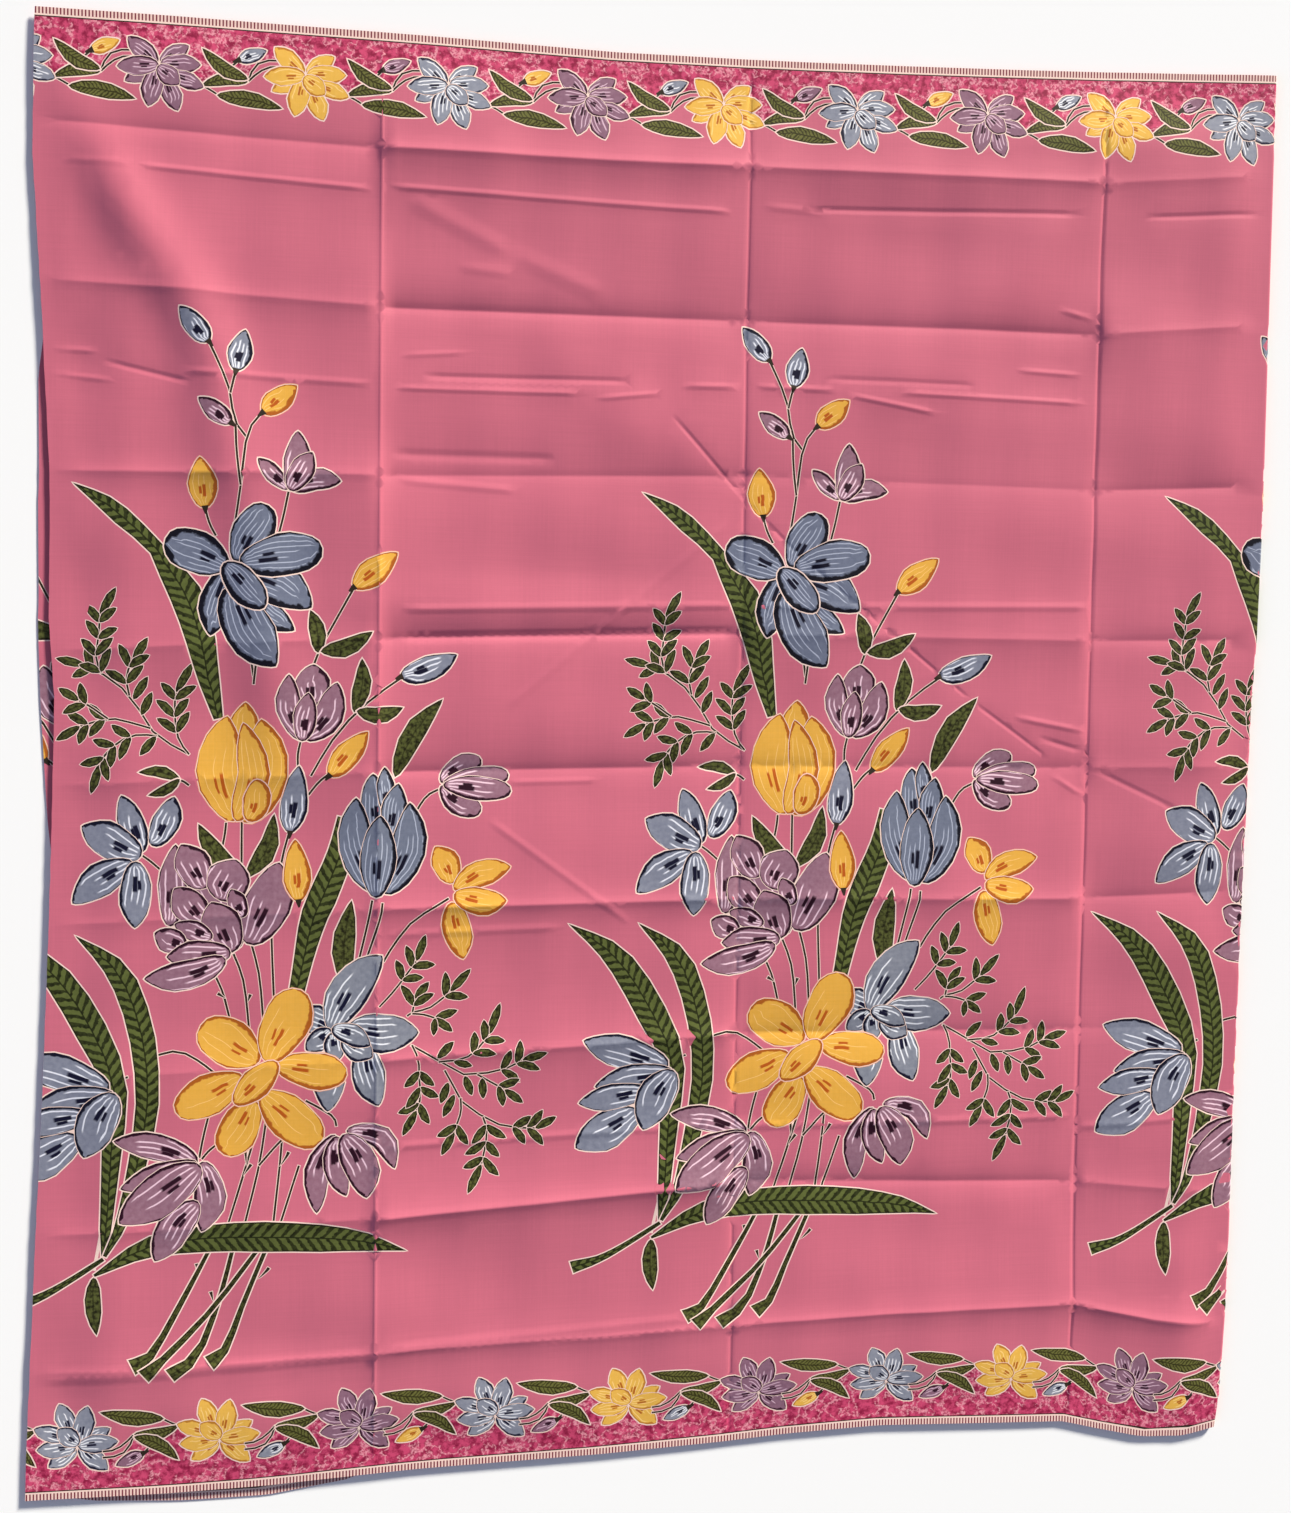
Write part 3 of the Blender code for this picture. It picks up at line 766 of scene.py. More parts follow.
# %% Flowers of the bouquet
Flower = namedtuple("Flower", "dye profile petals")
FLOWERS = (
    Flower("blue", "bud", petals((-365, 327, -387, 353, 17), (-345, 306, -338, 338, 18))),
    Flower("lilac", "bud", petals((-348, 266, -373, 285, 15))),
    Flower("yellow", "bud", petals((-325, 275, -299, 297, 19), (-368, 201, -372, 240, 22))),
    Flower("lilac", "pointed", petals(
        (-305, 217, -328, 240, 13), (-304, 217, -298, 262, 20, 0.06),
        (-303, 217, -265, 224, 17, -0.12), (-304, 216, -287, 246, 19))),
    Flower("blue_wide", "pointed", petals(
        (-350, 156, -364, 103, 25, 0.05), (-336, 140, -300, 108, 20, 0.08),
        (-350, 142, -314, 80, 38, 0.06), (-340, 152, -287, 126, 32, -0.08))),
    Flower("blue_wide", "round", petals(
        (-345, 160, -320, 204, 31), (-350, 157, -398, 177, 33),
        (-342, 160, -279, 172, 33))),
    Flower("blue_wide", "oval", petals((-354, 159, -323, 125, 25))),
    Flower("yellow", "bud", petals((-255, 142, -221, 170, 21))),
    Flower("lilac", "pointed", petals(
        (-287, 50, -285, 82, 27), (-293, 23, -304, 74, 20, -0.10),
        (-291, 23, -267, 68, 23, 0.12), (-294, 22, -289, 60, 18))),
    Flower("blue", "bud", petals((-303, -50, -296, 3, 21))),
    Flower("blue", "bud", petals((-218, 73, -174, 91, 20, 0.05))),
    Flower("yellow", "bud", petals((-273, -5, -243, 30, 20))),
    Flower("blue_dim", "pointed", petals(
        (-236, -50, -239, -3, 22), (-228, -34, -230, 2, 14),
        (-226, -54, -219, -11, 20), (-236, -97, -252, -22, 28, -0.10),
        (-229, -98, -210, -26, 28, 0.12), (-236, -101, -233, -36, 28))),
    Flower("lilac", "round", petals(
        (-186, -10, -154, 8, 18, -0.08), (-184, -11, -132, -4, 19),
        (-186, -13, -154, -33, 19, 0.10), (-184, -12, -130, -17, 19))),
    Flower("yellow", "pointed", petals(
        (-175, -90, -190, -61, 22, 0.05), (-175, -95, -130, -77, 21, -0.08),
        (-177, -105, -167, -151, 23), (-175, -99, -133, -104, 22, 0.08))),
    Flower("yellow", "pointed", petals(
        (-340, 2, -337, 52, 25), (-346, -41, -351, 41, 36, -0.10),
        (-338, -42, -325, 39, 36, 0.12), (-344, -41, -339, 36, 25, 0.14))),
    Flower("yellow", "oval", petals((-335, -41, -328, -8, 21, 0.10))),
    Flower("blue", "pointed", petals(
        (-415, -65, -431, -21, 20), (-408, -60, -391, -22, 21, 0.06),
        (-416, -68, -461, -45, 28), (-422, -73, -468, -105, 25, 0.06),
        (-420, -72, -421, -124, 24))),
    Flower("lilac", "pointed", petals(
        (-347, -144, -377, -72, 52), (-394, -123, -390, -59, 22), (-367, -93, -386, -59, 27),
        (-356, -103, -344, -71, 34), (-336, -137, -311, -73, 36, 0.06),
        (-368, -121, -391, -93, 26), (-338, -116, -348, -94, 15), (-347, -144, -363, -104, 32),
        (-362, -132, -391, -121, 16), (-382, -140, -406, -128, 20),
        (-348, -144, -397, -147, 23), (-352, -149, -414, -164, 23, -0.08))),
    Flower("yellow", "bud", petals((-296, -104, -299, -55, 21))),
    Flower("blue_lily", "pointed", petals(
        (-271, -224, -273, -271, 24), (-244, -216, -233, -267, 26, 0.06),
        (-268, -206, -294, -190, 23), (-258, -205, -202, -209, 31, 0.04),
        (-271, -206, -231, -147, 31, -0.08), (-270, -206, -290, -222, 17),
        (-269, -208, -267, -232, 16), (-262, -214, -238, -228, 20),
        (-270, -205, -240, -219, 17, -0.06))),
    Flower("yellow", "round", petals(
        (-329, -261, -353, -304, 31), (-325, -255, -279, -297, 34),
        (-338, -242, -390, -269, 32), (-326, -230, -371, -201, 37),
        (-313, -234, -258, -242, 29), (-320, -231, -294, -174, 37))),
    Flower("yellow", "oval", petals((-345, -264, -312, -231, 23))),
    Flower("lilac", "pointed", petals(
        (-258, -287, -220, -318, 18, -0.26), (-267, -290, -281, -352, 20, 0.11),
        (-266, -291, -258, -339, 19, 0.10), (-261, -290, -242, -341, 28, -0.09))),
    Flower("blue", "pointed", petals(
        (-440, -249, -510, -226, 28), (-436, -255, -500, -266, 26),
        (-464, -288, -515, -318, 32), (-456, -270, -513, -280, 22),
        (-436, -253, -460, -304, 31, 0.05))),
    Flower("lilac", "pointed", petals(
        (-373, -309, -437, -291, 21, 0.06), (-373, -310, -432, -329, 20),
        (-370, -309, -370, -364, 24, -0.12), (-373, -340, -406, -387, 26, 0.05),
        (-371, -312, -433, -356, 34))),
)
CALYX = (-4.5, 2.0)
CALYX_WIDTHS = (1.4, 5.5)


def calyx(row):
    """The dark cup at the foot of a bud."""
    base, tip = np.array([row.x0, row.y0], float), np.array([row.x1, row.y1], float)
    heading = (tip - base) / np.linalg.norm(tip - base)
    return blade([base + step * heading for step in CALYX], CALYX_WIDTHS, "stem", stations=4, resist=0.0)


def flower_marks(flower, stations=11):
    """A flower whose petals share one outline, with only a thin line where two of them meet."""
    outer_dye = "halo" if flower.dye == "yellow" else "resist"
    blades = [blade(petal_spine(row), row.width, flower.dye, flower.profile, stations, PETAL_GAP)
              for row in flower.petals]
    marks = [dyed._replace(loop=grown(dyed.loop, RESIST), dye=outer_dye, spine=None)
             for line, dyed in blades]
    for line_and_petal in blades:
        marks += line_and_petal
    if flower.profile == "bud":
        marks += [mark for row in flower.petals for mark in calyx(row)]
    return marks


print("petals and buds in a bouquet:", sum(len(flower.petals) for flower in FLOWERS))

# %% [markdown]
# ## The whole bouquet
# The marks are listed in painting order: thin stems first, then ferns and leaves, and
# the flowers on top. A copy may be moved along the cloth. The printer's block wasn't
# laid quite level, so a copy also rises by a few millimetres, more at one height than
# at another.

# %% Put the bouquet together
RISE_HEIGHTS = (-420.0, -200.0, 320.0)


def bouquet():
    """All the marks of one bouquet, in painting order."""
    marks = []
    for spine in STEMS:
        marks += blade(spine, STEM_WIDTH, "stem", stations=9, resist=THIN_RESIST)
    for spine in THORNS:
        marks += blade(spine, THORN_WIDTHS, "stem", stations=4, resist=THIN_RESIST)
    marks += blade(CANE, CANE_WIDTH, "resist", stations=6, resist=0.0)
    for spine in CUT_STEMS:
        marks += blade(spine, CUT_STEM_WIDTHS, "leaf", stations=9)
    for branch in FERNS:
        marks += fern_branch(branch)
    for root, tip in LONE_LEAFLETS:
        marks += leaflet(root, tip)
    for row in LEAVES:
        marks += blade(petal_spine(row), row.width, "leaf", "leaf", stations=8)
    for strap in STRAPS:
        marks += blade(strap.spine, strap.widths, "strap", stations=18)
    for flower in FLOWERS:
        marks += flower_marks(flower)
    return marks


def moved(marks, right, rises=(0.0, 0.0, 0.0)):
    """A copy of some marks, moved along the cloth, with the rise at three heights on it."""
    def shift(points):
        rise = np.interp(points[:, 1], RISE_HEIGHTS, rises)
        return points + np.column_stack([np.full(len(points), right), rise])
    return carried(marks, shift)


first_bouquet = bouquet()
print("marks in a bouquet:", len(first_bouquet))

# %% [markdown]
# ## The border
# Along each selvedge runs a vine with a flower every 109 mm, in turn blue, lilac and
# yellow. Above the vine the ground is magenta, mottled like marble, and at the very
# edge lies a comb of fine ticks. The lower border is the upper one turned half round.

# %% Border unit
BORDER_STEP = 109.2
UPPER_ROW = 537.0
LOWER_ROW = -533.0
COMB_DEPTH = 5.0
COMB_LINE = 1.3
COMB_SHADE = 2.2
BAND_STEP = 40.0
PAST_HEM = 20.0
PAST_ENDS = 60.0
LINE_PAST_ENDS = 50.0
FOLD_STEPS = np.array([-12.0, -5.0, -2.0, 0.0, 2.0, 5.0, 12.0])
TURN_STEPS = 6
BORDER_DYES = ("blue_small", "lilac_small", "yellow_small")
BORDER_NUMBERS = range(-2, 20)
UPPER_FIRST = -403.0
LOWER_FIRST = -465.0
FRONT_REACH = (-HALF_X - 20, HALF_X + 30)
BAND_EDGE = (
    (0, -4), (20, -9), (31, -14), (43, -7), (54, 3), (60, -3), (65, -7), (71, 4), (79, 9), (90, 10), (100, 8),
)
BORDER_FLOWER = petals(
    (0, 0, -25, -14, 13), (1, 2, 22, 16, 13), (-1, 1, -23, 20, 15), (4, -9, 14, -34, 15),
    (-2, -2, -8, -32, 16), (0, 0, -31, -3, 15), (1, 1, 31, 2, 15), (8, -6, 33, -15, 13),
    (-1, -1, 15, -14, 15),
)
BORDER_LEAVES = petals(
    (66, -8, 31, -14, 9.5, 0.10), (66, -6, 32, 15, 11, -0.10), (43, -20, 92, -27, 12.5, -0.04),
)
BORDER_BUD = petals((59, 8, 80, 17, 11))
BORDER_STEMS = (
    ((31, -14), (43, -7), (54, 3), (58, 7)), ((31, -14), (44, -10), (55, -1)),
    ((33, -14), (39, -17), (44, -20)), ((66, -8), (71, 4), (79, 9), (90, 10)),
    ((66, -8), (73, -1), (81, 4), (90, 5)),
)
BOUQUET_PLACES = table(
    "along rises",
    (0, (0, 0, 0)), (440, (16, 7, 4)), (884, (14, 12, 14)),
    (1322, (12, 12, 12)), (1760, (10, 10, 10)), (2198, (8, 8, 8)),
)


def border_unit(number, turned):
    """A flower with the leaves and the bud that follow it, as marks round its centre."""
    dye = BORDER_DYES[number % 3]
    bud_dye = BORDER_DYES[(number + 2) % 3]
    marks = []
    for spine in BORDER_STEMS:
        marks += blade(spine, STALK_WIDTH, "stem", stations=7, resist=THIN_RESIST)
    marks += flower_marks(Flower(bud_dye, "bud", BORDER_BUD))
    for row in BORDER_LEAVES:
        marks += blade(petal_spine(row), row.width, "leaf_small", "leaf", stations=8, resist=RESIST)
    marks += flower_marks(Flower(dye, "pointed", BORDER_FLOWER), 8)
    if turned:
        marks = carried(marks, np.negative)
    return marks


def level_row(xs, up):
    """Flat points side by side at one height."""
    return np.column_stack([xs, np.full(len(xs), float(up))])


def bends_along(up):
    """Where a line along the cloth must bend: at the lengthwise folds and round the turn."""
    folds = [panel.along + FOLD_STEPS for panel in PANEL_FOLDS]
    return np.concatenate(folds + [turn_start(up) + TURN_LENGTH * np.arange(-1, TURN_STEPS + 1) / TURN_STEPS])


def band_marks(x_low, x_high, turned):
    """The magenta band, the cream line and the comb of one selvedge."""
    row = LOWER_ROW if turned else UPPER_ROW
    sign = -1.0 if turned else 1.0
    first = LOWER_FIRST if turned else UPPER_FIRST
    numbers = range(int((x_low - first) // BORDER_STEP) - 2, int((x_high - first) // BORDER_STEP) + 3)
    edge = []
    for number in numbers:
        edge += [(first + BORDER_STEP * number + sign * right, row + sign * up) for right, up in BAND_EDGE]
    edge.sort()
    edge = np.array(edge)
    edge = edge[(edge[:, 0] > x_low - PAST_ENDS) & (edge[:, 0] < x_high + PAST_ENDS)]
    far = sign * (HALF_Y + PAST_HEM)

    def strip(low, beyond, dye):
        reach = LINE_PAST_ENDS + beyond
        line = np.arange(x_low - reach, x_high + reach, BAND_STEP)
        bends = bends_along(sign * HALF_Y)
        line = np.unique(np.concatenate([line, bends[(bends > line[0]) & (bends < line[-1])]]))
        loop = np.vstack([level_row(line, low), level_row(line, far + sign * beyond)[::-1]])
        return Mark(loop, dye, None, None, 0.5)

    back = level_row(np.arange(edge[-1, 0], edge[0, 0], -BAND_STEP), far)
    loop = np.vstack([edge, back, [(edge[0, 0], far)]])
    comb = sign * (HALF_Y - COMB_DEPTH)
    return [Mark(loop, "band", None, None, 0.5), strip(comb - sign * COMB_SHADE, 4, "stem"),
            strip(comb - sign * COMB_LINE, 9, "resist"), strip(comb, 15, "comb")]


def printed_marks(x_low, x_high):
    """Every mark of the print between two distances along the cloth."""
    marks = band_marks(x_low, x_high, False) + band_marks(x_low, x_high, True)
    for number in BORDER_NUMBERS:
        upper = moved(border_unit(number + 1, False), UPPER_FIRST + BORDER_STEP * number, (UPPER_ROW,) * 3)
        lower = moved(border_unit(-number, True), LOWER_FIRST + BORDER_STEP * number, (LOWER_ROW,) * 3)
        marks += upper + lower
    for place in BOUQUET_PLACES:
        marks += moved(first_bouquet, place.along, place.rises)
    inside = [mark.loop[:, 0].max() > x_low and mark.loop[:, 0].min() < x_high for mark in marks]
    return [mark for mark, kept in zip(marks, inside) if kept]


front_marks = printed_marks(*FRONT_REACH)
print("marks on the upper half:", len(front_marks))

# %% [markdown]
# ## Points for the creases
# A crease needs its own rows of points, or its crest would be lost between coarse
# triangles. Rows run beside each fold and each small crease, and an even grid fills
# the rest of the cloth. Grid points that would crowd a row are left out.

# %% Points for the creases
ROW_STEP = 8.5
ROW_INSET = 4.0
CROSS_ROWS = (-7.0, -3.0, -1.1, 0.0, 1.1, 3.0, 7.0)
PANEL_ROWS = (-12.0, -5.0, -2.2, -1.1, 0.0, 1.1, 2.2, 5.0, 12.0)
WRINKLE_ROWS = (-1.8, -1.0, -0.4, 0.4, 1.0, 1.8)
NEAR_ROWS = 2.0


def outside(points, share, rows):
    """The points that lie more than a share of a half width from the lines of small creases."""
    kept = np.ones(len(points), bool)
    for row in rows:
        across, taper = wrinkle_frame(row, points[:, 0], points[:, 1])
        kept &= (taper <= 0) | (np.abs(across) > share * row.half_width)
    return points[kept]


def crease_points(x_low, x_high, small=True):
    """Points beside every fold, and beside every small crease where these are wanted."""
    xs = np.arange(x_low, x_high, ROW_STEP)
    ups = np.arange(-HALF_Y + ROW_INSET, HALF_Y - ROW_INSET + 1, ROW_STEP)
    rows = [(step, xs, cross_fold_line(fold, xs) + step) for fold in CROSS_FOLDS for step in CROSS_ROWS]
    rows += [(step, np.full_like(ups, panel.along + step), ups)
             for panel in PANEL_FOLDS for step in PANEL_ROWS]
    near = [np.column_stack(row[1:]) for row in rows if abs(row[0]) < NEAR_ROWS]
    far = [np.column_stack(row[1:]) for row in rows if abs(row[0]) >= NEAR_ROWS]
    if not small:
        return np.vstack(near + far)
    for row in WRINKLES:
        others = [other for other in WRINKLES if other is not row]
        start, end = np.array([row.x0, row.y0], float), np.array([row.x1, row.y1], float)
        length = np.linalg.norm(end - start)
        heading = (end - start) / length
        side = np.array([-heading[1], heading[0]]) * row.half_width
        gone = np.arange(0, length, ROW_STEP)[:, None]
        for step in WRINKLE_ROWS:
            near.append(outside(start + heading * gone + side * step, abs(step), others))
    return np.vstack(near + [outside(row, WRINKLE_ROWS[-1], WRINKLES) for row in far])


def cell_of(x, up, size):
    """The square cell in which a point lies."""
    return int(x // size), int(up // size)


def cells_round(cell):
    """A cell and the eight cells round it."""
    return [(cell[0] + i, cell[1] + j) for i in (-1, 0, 1) for j in (-1, 0, 1)]


def thinned(points, clearance):
    """The points that keep a clearance from those kept before them."""
    cells, kept = {}, []
    for x, up in points:
        cell = cell_of(x, up, clearance)
        near = [cells[other] for other in cells_round(cell) if other in cells]
        if all((other[0] - x)**2 + (other[1] - up)**2 > clearance**2 for other in near):
            cells[cell] = (x, up)
            kept.append((x, up))
    return kept


def clear_of(grid, points, clearance):
    """The grid points that have none of the other points within a clearance."""
    taken = {cell_of(x, up, clearance) for x, up in points}
    return [(x, up) for x, up in grid if taken.isdisjoint(cells_round(cell_of(x, up, clearance)))]


print("rows beside a cross fold:", len(CROSS_ROWS))

# %% [markdown]
# ## Cutting the print into the mesh
# A constrained triangulation takes the cloth's outline, the crease points and every
# mark's outline at once, and cuts them all where they cross. Each triangle then lies
# wholly inside or outside every mark, so it takes the dye of the mark painted last.

# %% Triangulate a printed face
DYES = (
    "ground", "resist", "halo", "band", "comb", "stem", "leaf", "leaf_small", "strap",
    "blue", "blue_dim", "blue_wide", "blue_lily", "lilac", "yellow",
    "blue_small", "lilac_small", "yellow_small",
)
Face = namedtuple("Face", "points triangles owners rim")
CUT_TOLERANCE = 1e-3
SPECK_AREA = 2.0


def anticlockwise(loop):
    """The same outline, run through anticlockwise from its longest edge."""
    after = np.roll(loop, -1, axis=0)
    area = (loop[:, 0] * after[:, 1] - loop[:, 1] * after[:, 0]).sum()
    turned = loop if area > 0 else loop[::-1]
    lengths = np.linalg.norm(np.roll(turned, -1, axis=0) - turned, axis=1)
    return np.roll(turned, -int(lengths.argmax()), axis=0)


def last_mark(source, centre, boxes):
    """The last of the marks over a triangle whose box holds its centre, or 0."""
    for number in sorted(source, reverse=True):
        low, high = boxes[number]
        if low[0] <= centre[0] <= high[0] and low[1] <= centre[1] <= high[1]:
            return number
    return 0


def specks_filled(triangles, owners, areas):
    """The owners, where a speck of bare ground inside a mark joins the mark round it."""
    sides, around = {}, [[] for _ in triangles]
    for number, corners in enumerate(triangles.tolist()):
        for k in range(3):
            sides.setdefault(frozenset((corners[k - 1], corners[k])), []).append(number)
    for pair in sides.values():
        if len(pair) == 2:
            around[pair[0]].append(pair[1])
            around[pair[1]].append(pair[0])
    filled, seen = owners.copy(), owners != 0
    for start in np.flatnonzero(owners == 0).tolist():
        patch, rim, waiting = [], [], [] if seen[start] else [start]
        seen[start] = True
        while waiting:
            patch.append(waiting.pop())
            for other in around[patch[-1]]:
                if owners[other] != 0:
                    rim.append(owners[other])
                elif not seen[other]:
                    seen[other] = True
                    waiting.append(other)
        if rim and areas[patch].sum() < SPECK_AREA:
            filled[patch] = max(set(rim), key=rim.count)
    return filled


def triangulate(outline, points, marks):
    """Cut a flat sheet into triangles, each with the number of the mark that owns it."""
    corners, faces, boxes = [], [], []
    for loop in [outline] + [mark.loop for mark in marks]:
        boxes.append((loop.min(axis=0).tolist(), loop.max(axis=0).tolist()))
        faces.append(list(range(len(corners), len(corners) + len(loop))))
        corners += [Vector(point) for point in anticlockwise(loop)]
    corners += [Vector(point) for point in points]
    made = delaunay_2d_cdt(corners, [], faces, 0, CUT_TOLERANCE, True)
    places, triangles, sources = np.array([tuple(v) for v in made[0]]), np.array(made[2]), made[5]
    inside = np.array([0 in source for source in sources])
    centres = places[triangles].mean(axis=1).tolist()
    owners = np.array([last_mark(*pair, boxes) for pair in zip(sources, centres)])
    triangles, owners = triangles[inside], owners[inside]
    a, b, c = (places[triangles[:, k]] for k in range(3))
    area = (b[:, 0] - a[:, 0]) * (c[:, 1] - a[:, 1]) - (b[:, 1] - a[:, 1]) * (c[:, 0] - a[:, 0])
    triangles[area < 0] = triangles[area < 0][:, ::-1]
    owners = specks_filled(triangles, owners, np.abs(area) / 2)
    used, triangles = np.unique(triangles, return_inverse=True)
    triangles = triangles.reshape(-1, 3)
    return Face(places[used], triangles, owners, rim_of(triangles))


def rim_of(triangles):
    """The vertices round the edge of a triangulated sheet, in order."""
    edges = np.vstack([triangles[:, [0, 1]], triangles[:, [1, 2]], triangles[:, [2, 0]]])
    pairs = set(map(tuple, edges.tolist()))
    after = {start: end for start, end in pairs if (end, start) not in pairs}
    rim = [next(iter(after))]
    while after[rim[-1]] != rim[0] and len(rim) <= len(after):
        rim.append(after[rim[-1]])
    if len(rim) != len(after):
        raise RuntimeError(f"the rim has {len(after)} edges but the loop has {len(rim)}")
    return rim


print("dyes of the print:", len(DYES))

# %% [markdown]
# ## The printed face
# The outline follows the cut edge, which frays a little, and both hems, and goes on
# round the turn. Its points stand close where the cloth bends, so that no straight
# side cuts a bend short. One plan spaces the points of the printed face, and another
# those of the plain face below it.

# %% Cut the printed face
EDGE_POINTS = 116
HEM_STEPS = 102
FRAY = 0.25
TURN_ROWS = 8
CREASE_INSET = 22.0
GRID_INSET = 8.0
ROW_CLEARANCE = 0.9
PointPlan = namedtuple("PointPlan", "step inset clearance side_margin hem_margin leg_shares")
PRINTED = PointPlan(12.0, 5, 4.0, 4, 3, (0.6,))
PLAIN = PointPlan(22.0, 8, 5.5, 6, 5, ())
fray_dice = np.random.default_rng(5)


def hem_row(first, up):
    """Points along a hem, from the left edge to the turn, round it and along the leg."""
    start = turn_start(up)
    level = np.linspace(first, start, HEM_STEPS)[1:]
    rounded = start + TURN_LENGTH * np.arange(1, TURN_STEPS + 1) / TURN_STEPS
    return level_row(np.concatenate([level, rounded, [start + TURN_LENGTH + LEG_LENGTH / 2]]), up)


def front_outline():
    """The flat outline of the upper half, with the strip that goes round the turn."""
    ups = np.linspace(-HALF_Y, HALF_Y, EDGE_POINTS)
    left = np.column_stack([left_edge(ups) + fray_dice.uniform(-FRAY, FRAY, len(ups)), ups])
    right = np.column_stack([turn_start(ups) + TURN_LENGTH + LEG_LENGTH, ups])
    lower, upper = hem_row(left[0, 0], -HALF_Y), hem_row(left[-1, 0], HALF_Y)
    return np.vstack([lower, right, upper[::-1], left[::-1]])


def sheet_points(plan):
    """Turn rows, crease rows and grid points of the upper half, spaced by a plan."""
    ups = np.arange(-HALF_Y + plan.inset, HALF_Y - plan.inset + 1, plan.step)
    turn_rows = [TURN_LENGTH * k / TURN_ROWS for k in range(TURN_ROWS + 1)]
    turn_rows += [TURN_LENGTH + LEG_LENGTH * share for share in plan.leg_shares]
    rows = [np.column_stack([turn_start(ups) + step, ups]) for step in turn_rows]
    xs = np.arange(-HALF_X + GRID_INSET, HALF_X - GRID_INSET, plan.step)
    grid = [(x, up) for up in ups for x in xs]
    fine = thinned(crease_points(-HALF_X + CREASE_INSET, HALF_X - CREASE_INSET), ROW_CLEARANCE)
    kept = np.array(fine + clear_of(grid, fine, plan.clearance))
    x, up = kept[:, 0], kept[:, 1]
    inside = (x > left_edge(up) + plan.side_margin) & (x < turn_start(up) - plan.side_margin)
    inside &= np.abs(up) < HALF_Y - plan.hem_margin
    return np.vstack(rows + [kept[inside]])


front_face = triangulate(front_outline(), sheet_points(PRINTED), front_marks)
print("triangles on the printed face:", len(front_face.triangles), " rim:", len(front_face.rim))

# %% [markdown]
# ## Stroke coordinates
# The brush strokes inside a petal run from its base to its tip. So each corner of
# each triangle keeps where it lies in its own mark: the share of the way along, the
# place across, the half width and the length in millimetres. Materials read these
# from two UV maps, so the strokes bend with the petal.

# %% Stroke coordinates
CORNER_VALUES = ("share along", "share across", "half width", "length")


def mark_coordinates(mark, points):
    """Share along and across, half width and length of a mark at some flat points."""
    start, step = mark.spine[:-1], np.diff(mark.spine, axis=0)
    size = np.maximum((step**2).sum(axis=1), 1e-9)
    offset = points[:, None, :] - start[None]
    share = np.clip((offset * step).sum(axis=2) / size, 0, 1)
    gap = offset - share[:, :, None] * step[None]
    nearest = np.argmin((gap**2).sum(axis=2), axis=1)
    rows = np.arange(len(points))
    share, gap, step = share[rows, nearest], gap[rows, nearest], step[nearest]
    gone = share_along(mark.spine)
    along = gone[nearest] + share * (gone[nearest + 1] - gone[nearest])
    half = mark.half[nearest] + share * (mark.half[nearest + 1] - mark.half[nearest])
    sign = np.sign(step[:, 1] * gap[:, 0] - step[:, 0] * gap[:, 1])
    across = np.clip(sign * np.linalg.norm(gap, axis=1) / np.maximum(half, LEAST_HALF), -1, 1)
    length = step_lengths(mark.spine).sum()
    return np.column_stack([along, 0.5 + 0.5 * across, half, np.full(len(points), length)])


def stroke_corners(face, marks):
    """Stroke coordinates of every corner of a face, and the dye and hand of each triangle."""
    corners = np.zeros((len(face.triangles), 3, len(CORNER_VALUES)))
    dyes = np.zeros(len(face.triangles), int)
    hands = np.full(len(face.triangles), 0.5)
    order = np.argsort(face.owners, kind="stable")
    owners, first = np.unique(face.owners[order], return_index=True)
    for owner, group in zip(owners, np.split(order, first[1:])):
        if owner == 0:
            continue
        mark = marks[owner - 1]
        dyes[group] = DYES.index(mark.dye)
        hands[group] = mark.hand
        if mark.spine is not None:
            points = face.points[face.triangles[group]].reshape(-1, 2)
            corners[group] = mark_coordinates(mark, points).reshape(corners[group].shape)
    return corners, dyes, hands


print("kept for each corner:", ", ".join(CORNER_VALUES))

# %% [markdown]
# ## Closing a sheet
# A sheet of cloth is a closed shell: the printed face, the other face a little below
# it, and a narrow rim all round. Both faces share the rim's points, so nothing gapes.
# The normals come from the cloth's own shape, so the cuts of the print don't show.

# %% Close a sheet
Side = namedtuple("Side", "face places normals marks")
RIM_SHARE = 0.01
BAKE_MARGIN = 0.002


def aligned_rim(face, start):
    """The rim of a face, begun at the point nearest to a given one."""
    rim = np.array(face.rim)
    first = int(np.argmin(np.linalg.norm(face.points[rim] - start, axis=1)))
    return np.roll(rim, -first)


def add_uv(mesh, name, values):
    """A UV map with a value for each corner."""
    layer = mesh.uv_layers.new(name=name)
    layer.uv.foreach_set("vector", np.ascontiguousarray(values, np.float32).ravel())


def rim_normals(places, sides):
    """The outward normal of each quad of a rim."""
    first = places[sides[:, 0]] - places[sides[:, 2]]
    second = places[sides[:, 1]] - places[sides[:, 3]]
    return unit(np.cross(first, second))


def bake_places(flat, corners, upper_share):
    """Where each corner lies on the picture that an export may paint, most of it the print."""
    low, high = flat.min(axis=0), flat.max(axis=0)
    places = (flat - low) / (high - low) * (1 - 2 * BAKE_MARGIN) + BAKE_MARGIN
    upper, lower = slice(0, corners[0]), slice(corners[0], corners[1])
    lower_share = 1 - upper_share - 2 * RIM_SHARE
    places[upper, 0] *= upper_share
    places[lower, 0] = upper_share + 2 * RIM_SHARE + lower_share * places[lower, 0]
    places[corners[1]:, 0] = upper_share + 0.5 * RIM_SHARE + RIM_SHARE * places[corners[1]:, 0]
    return places


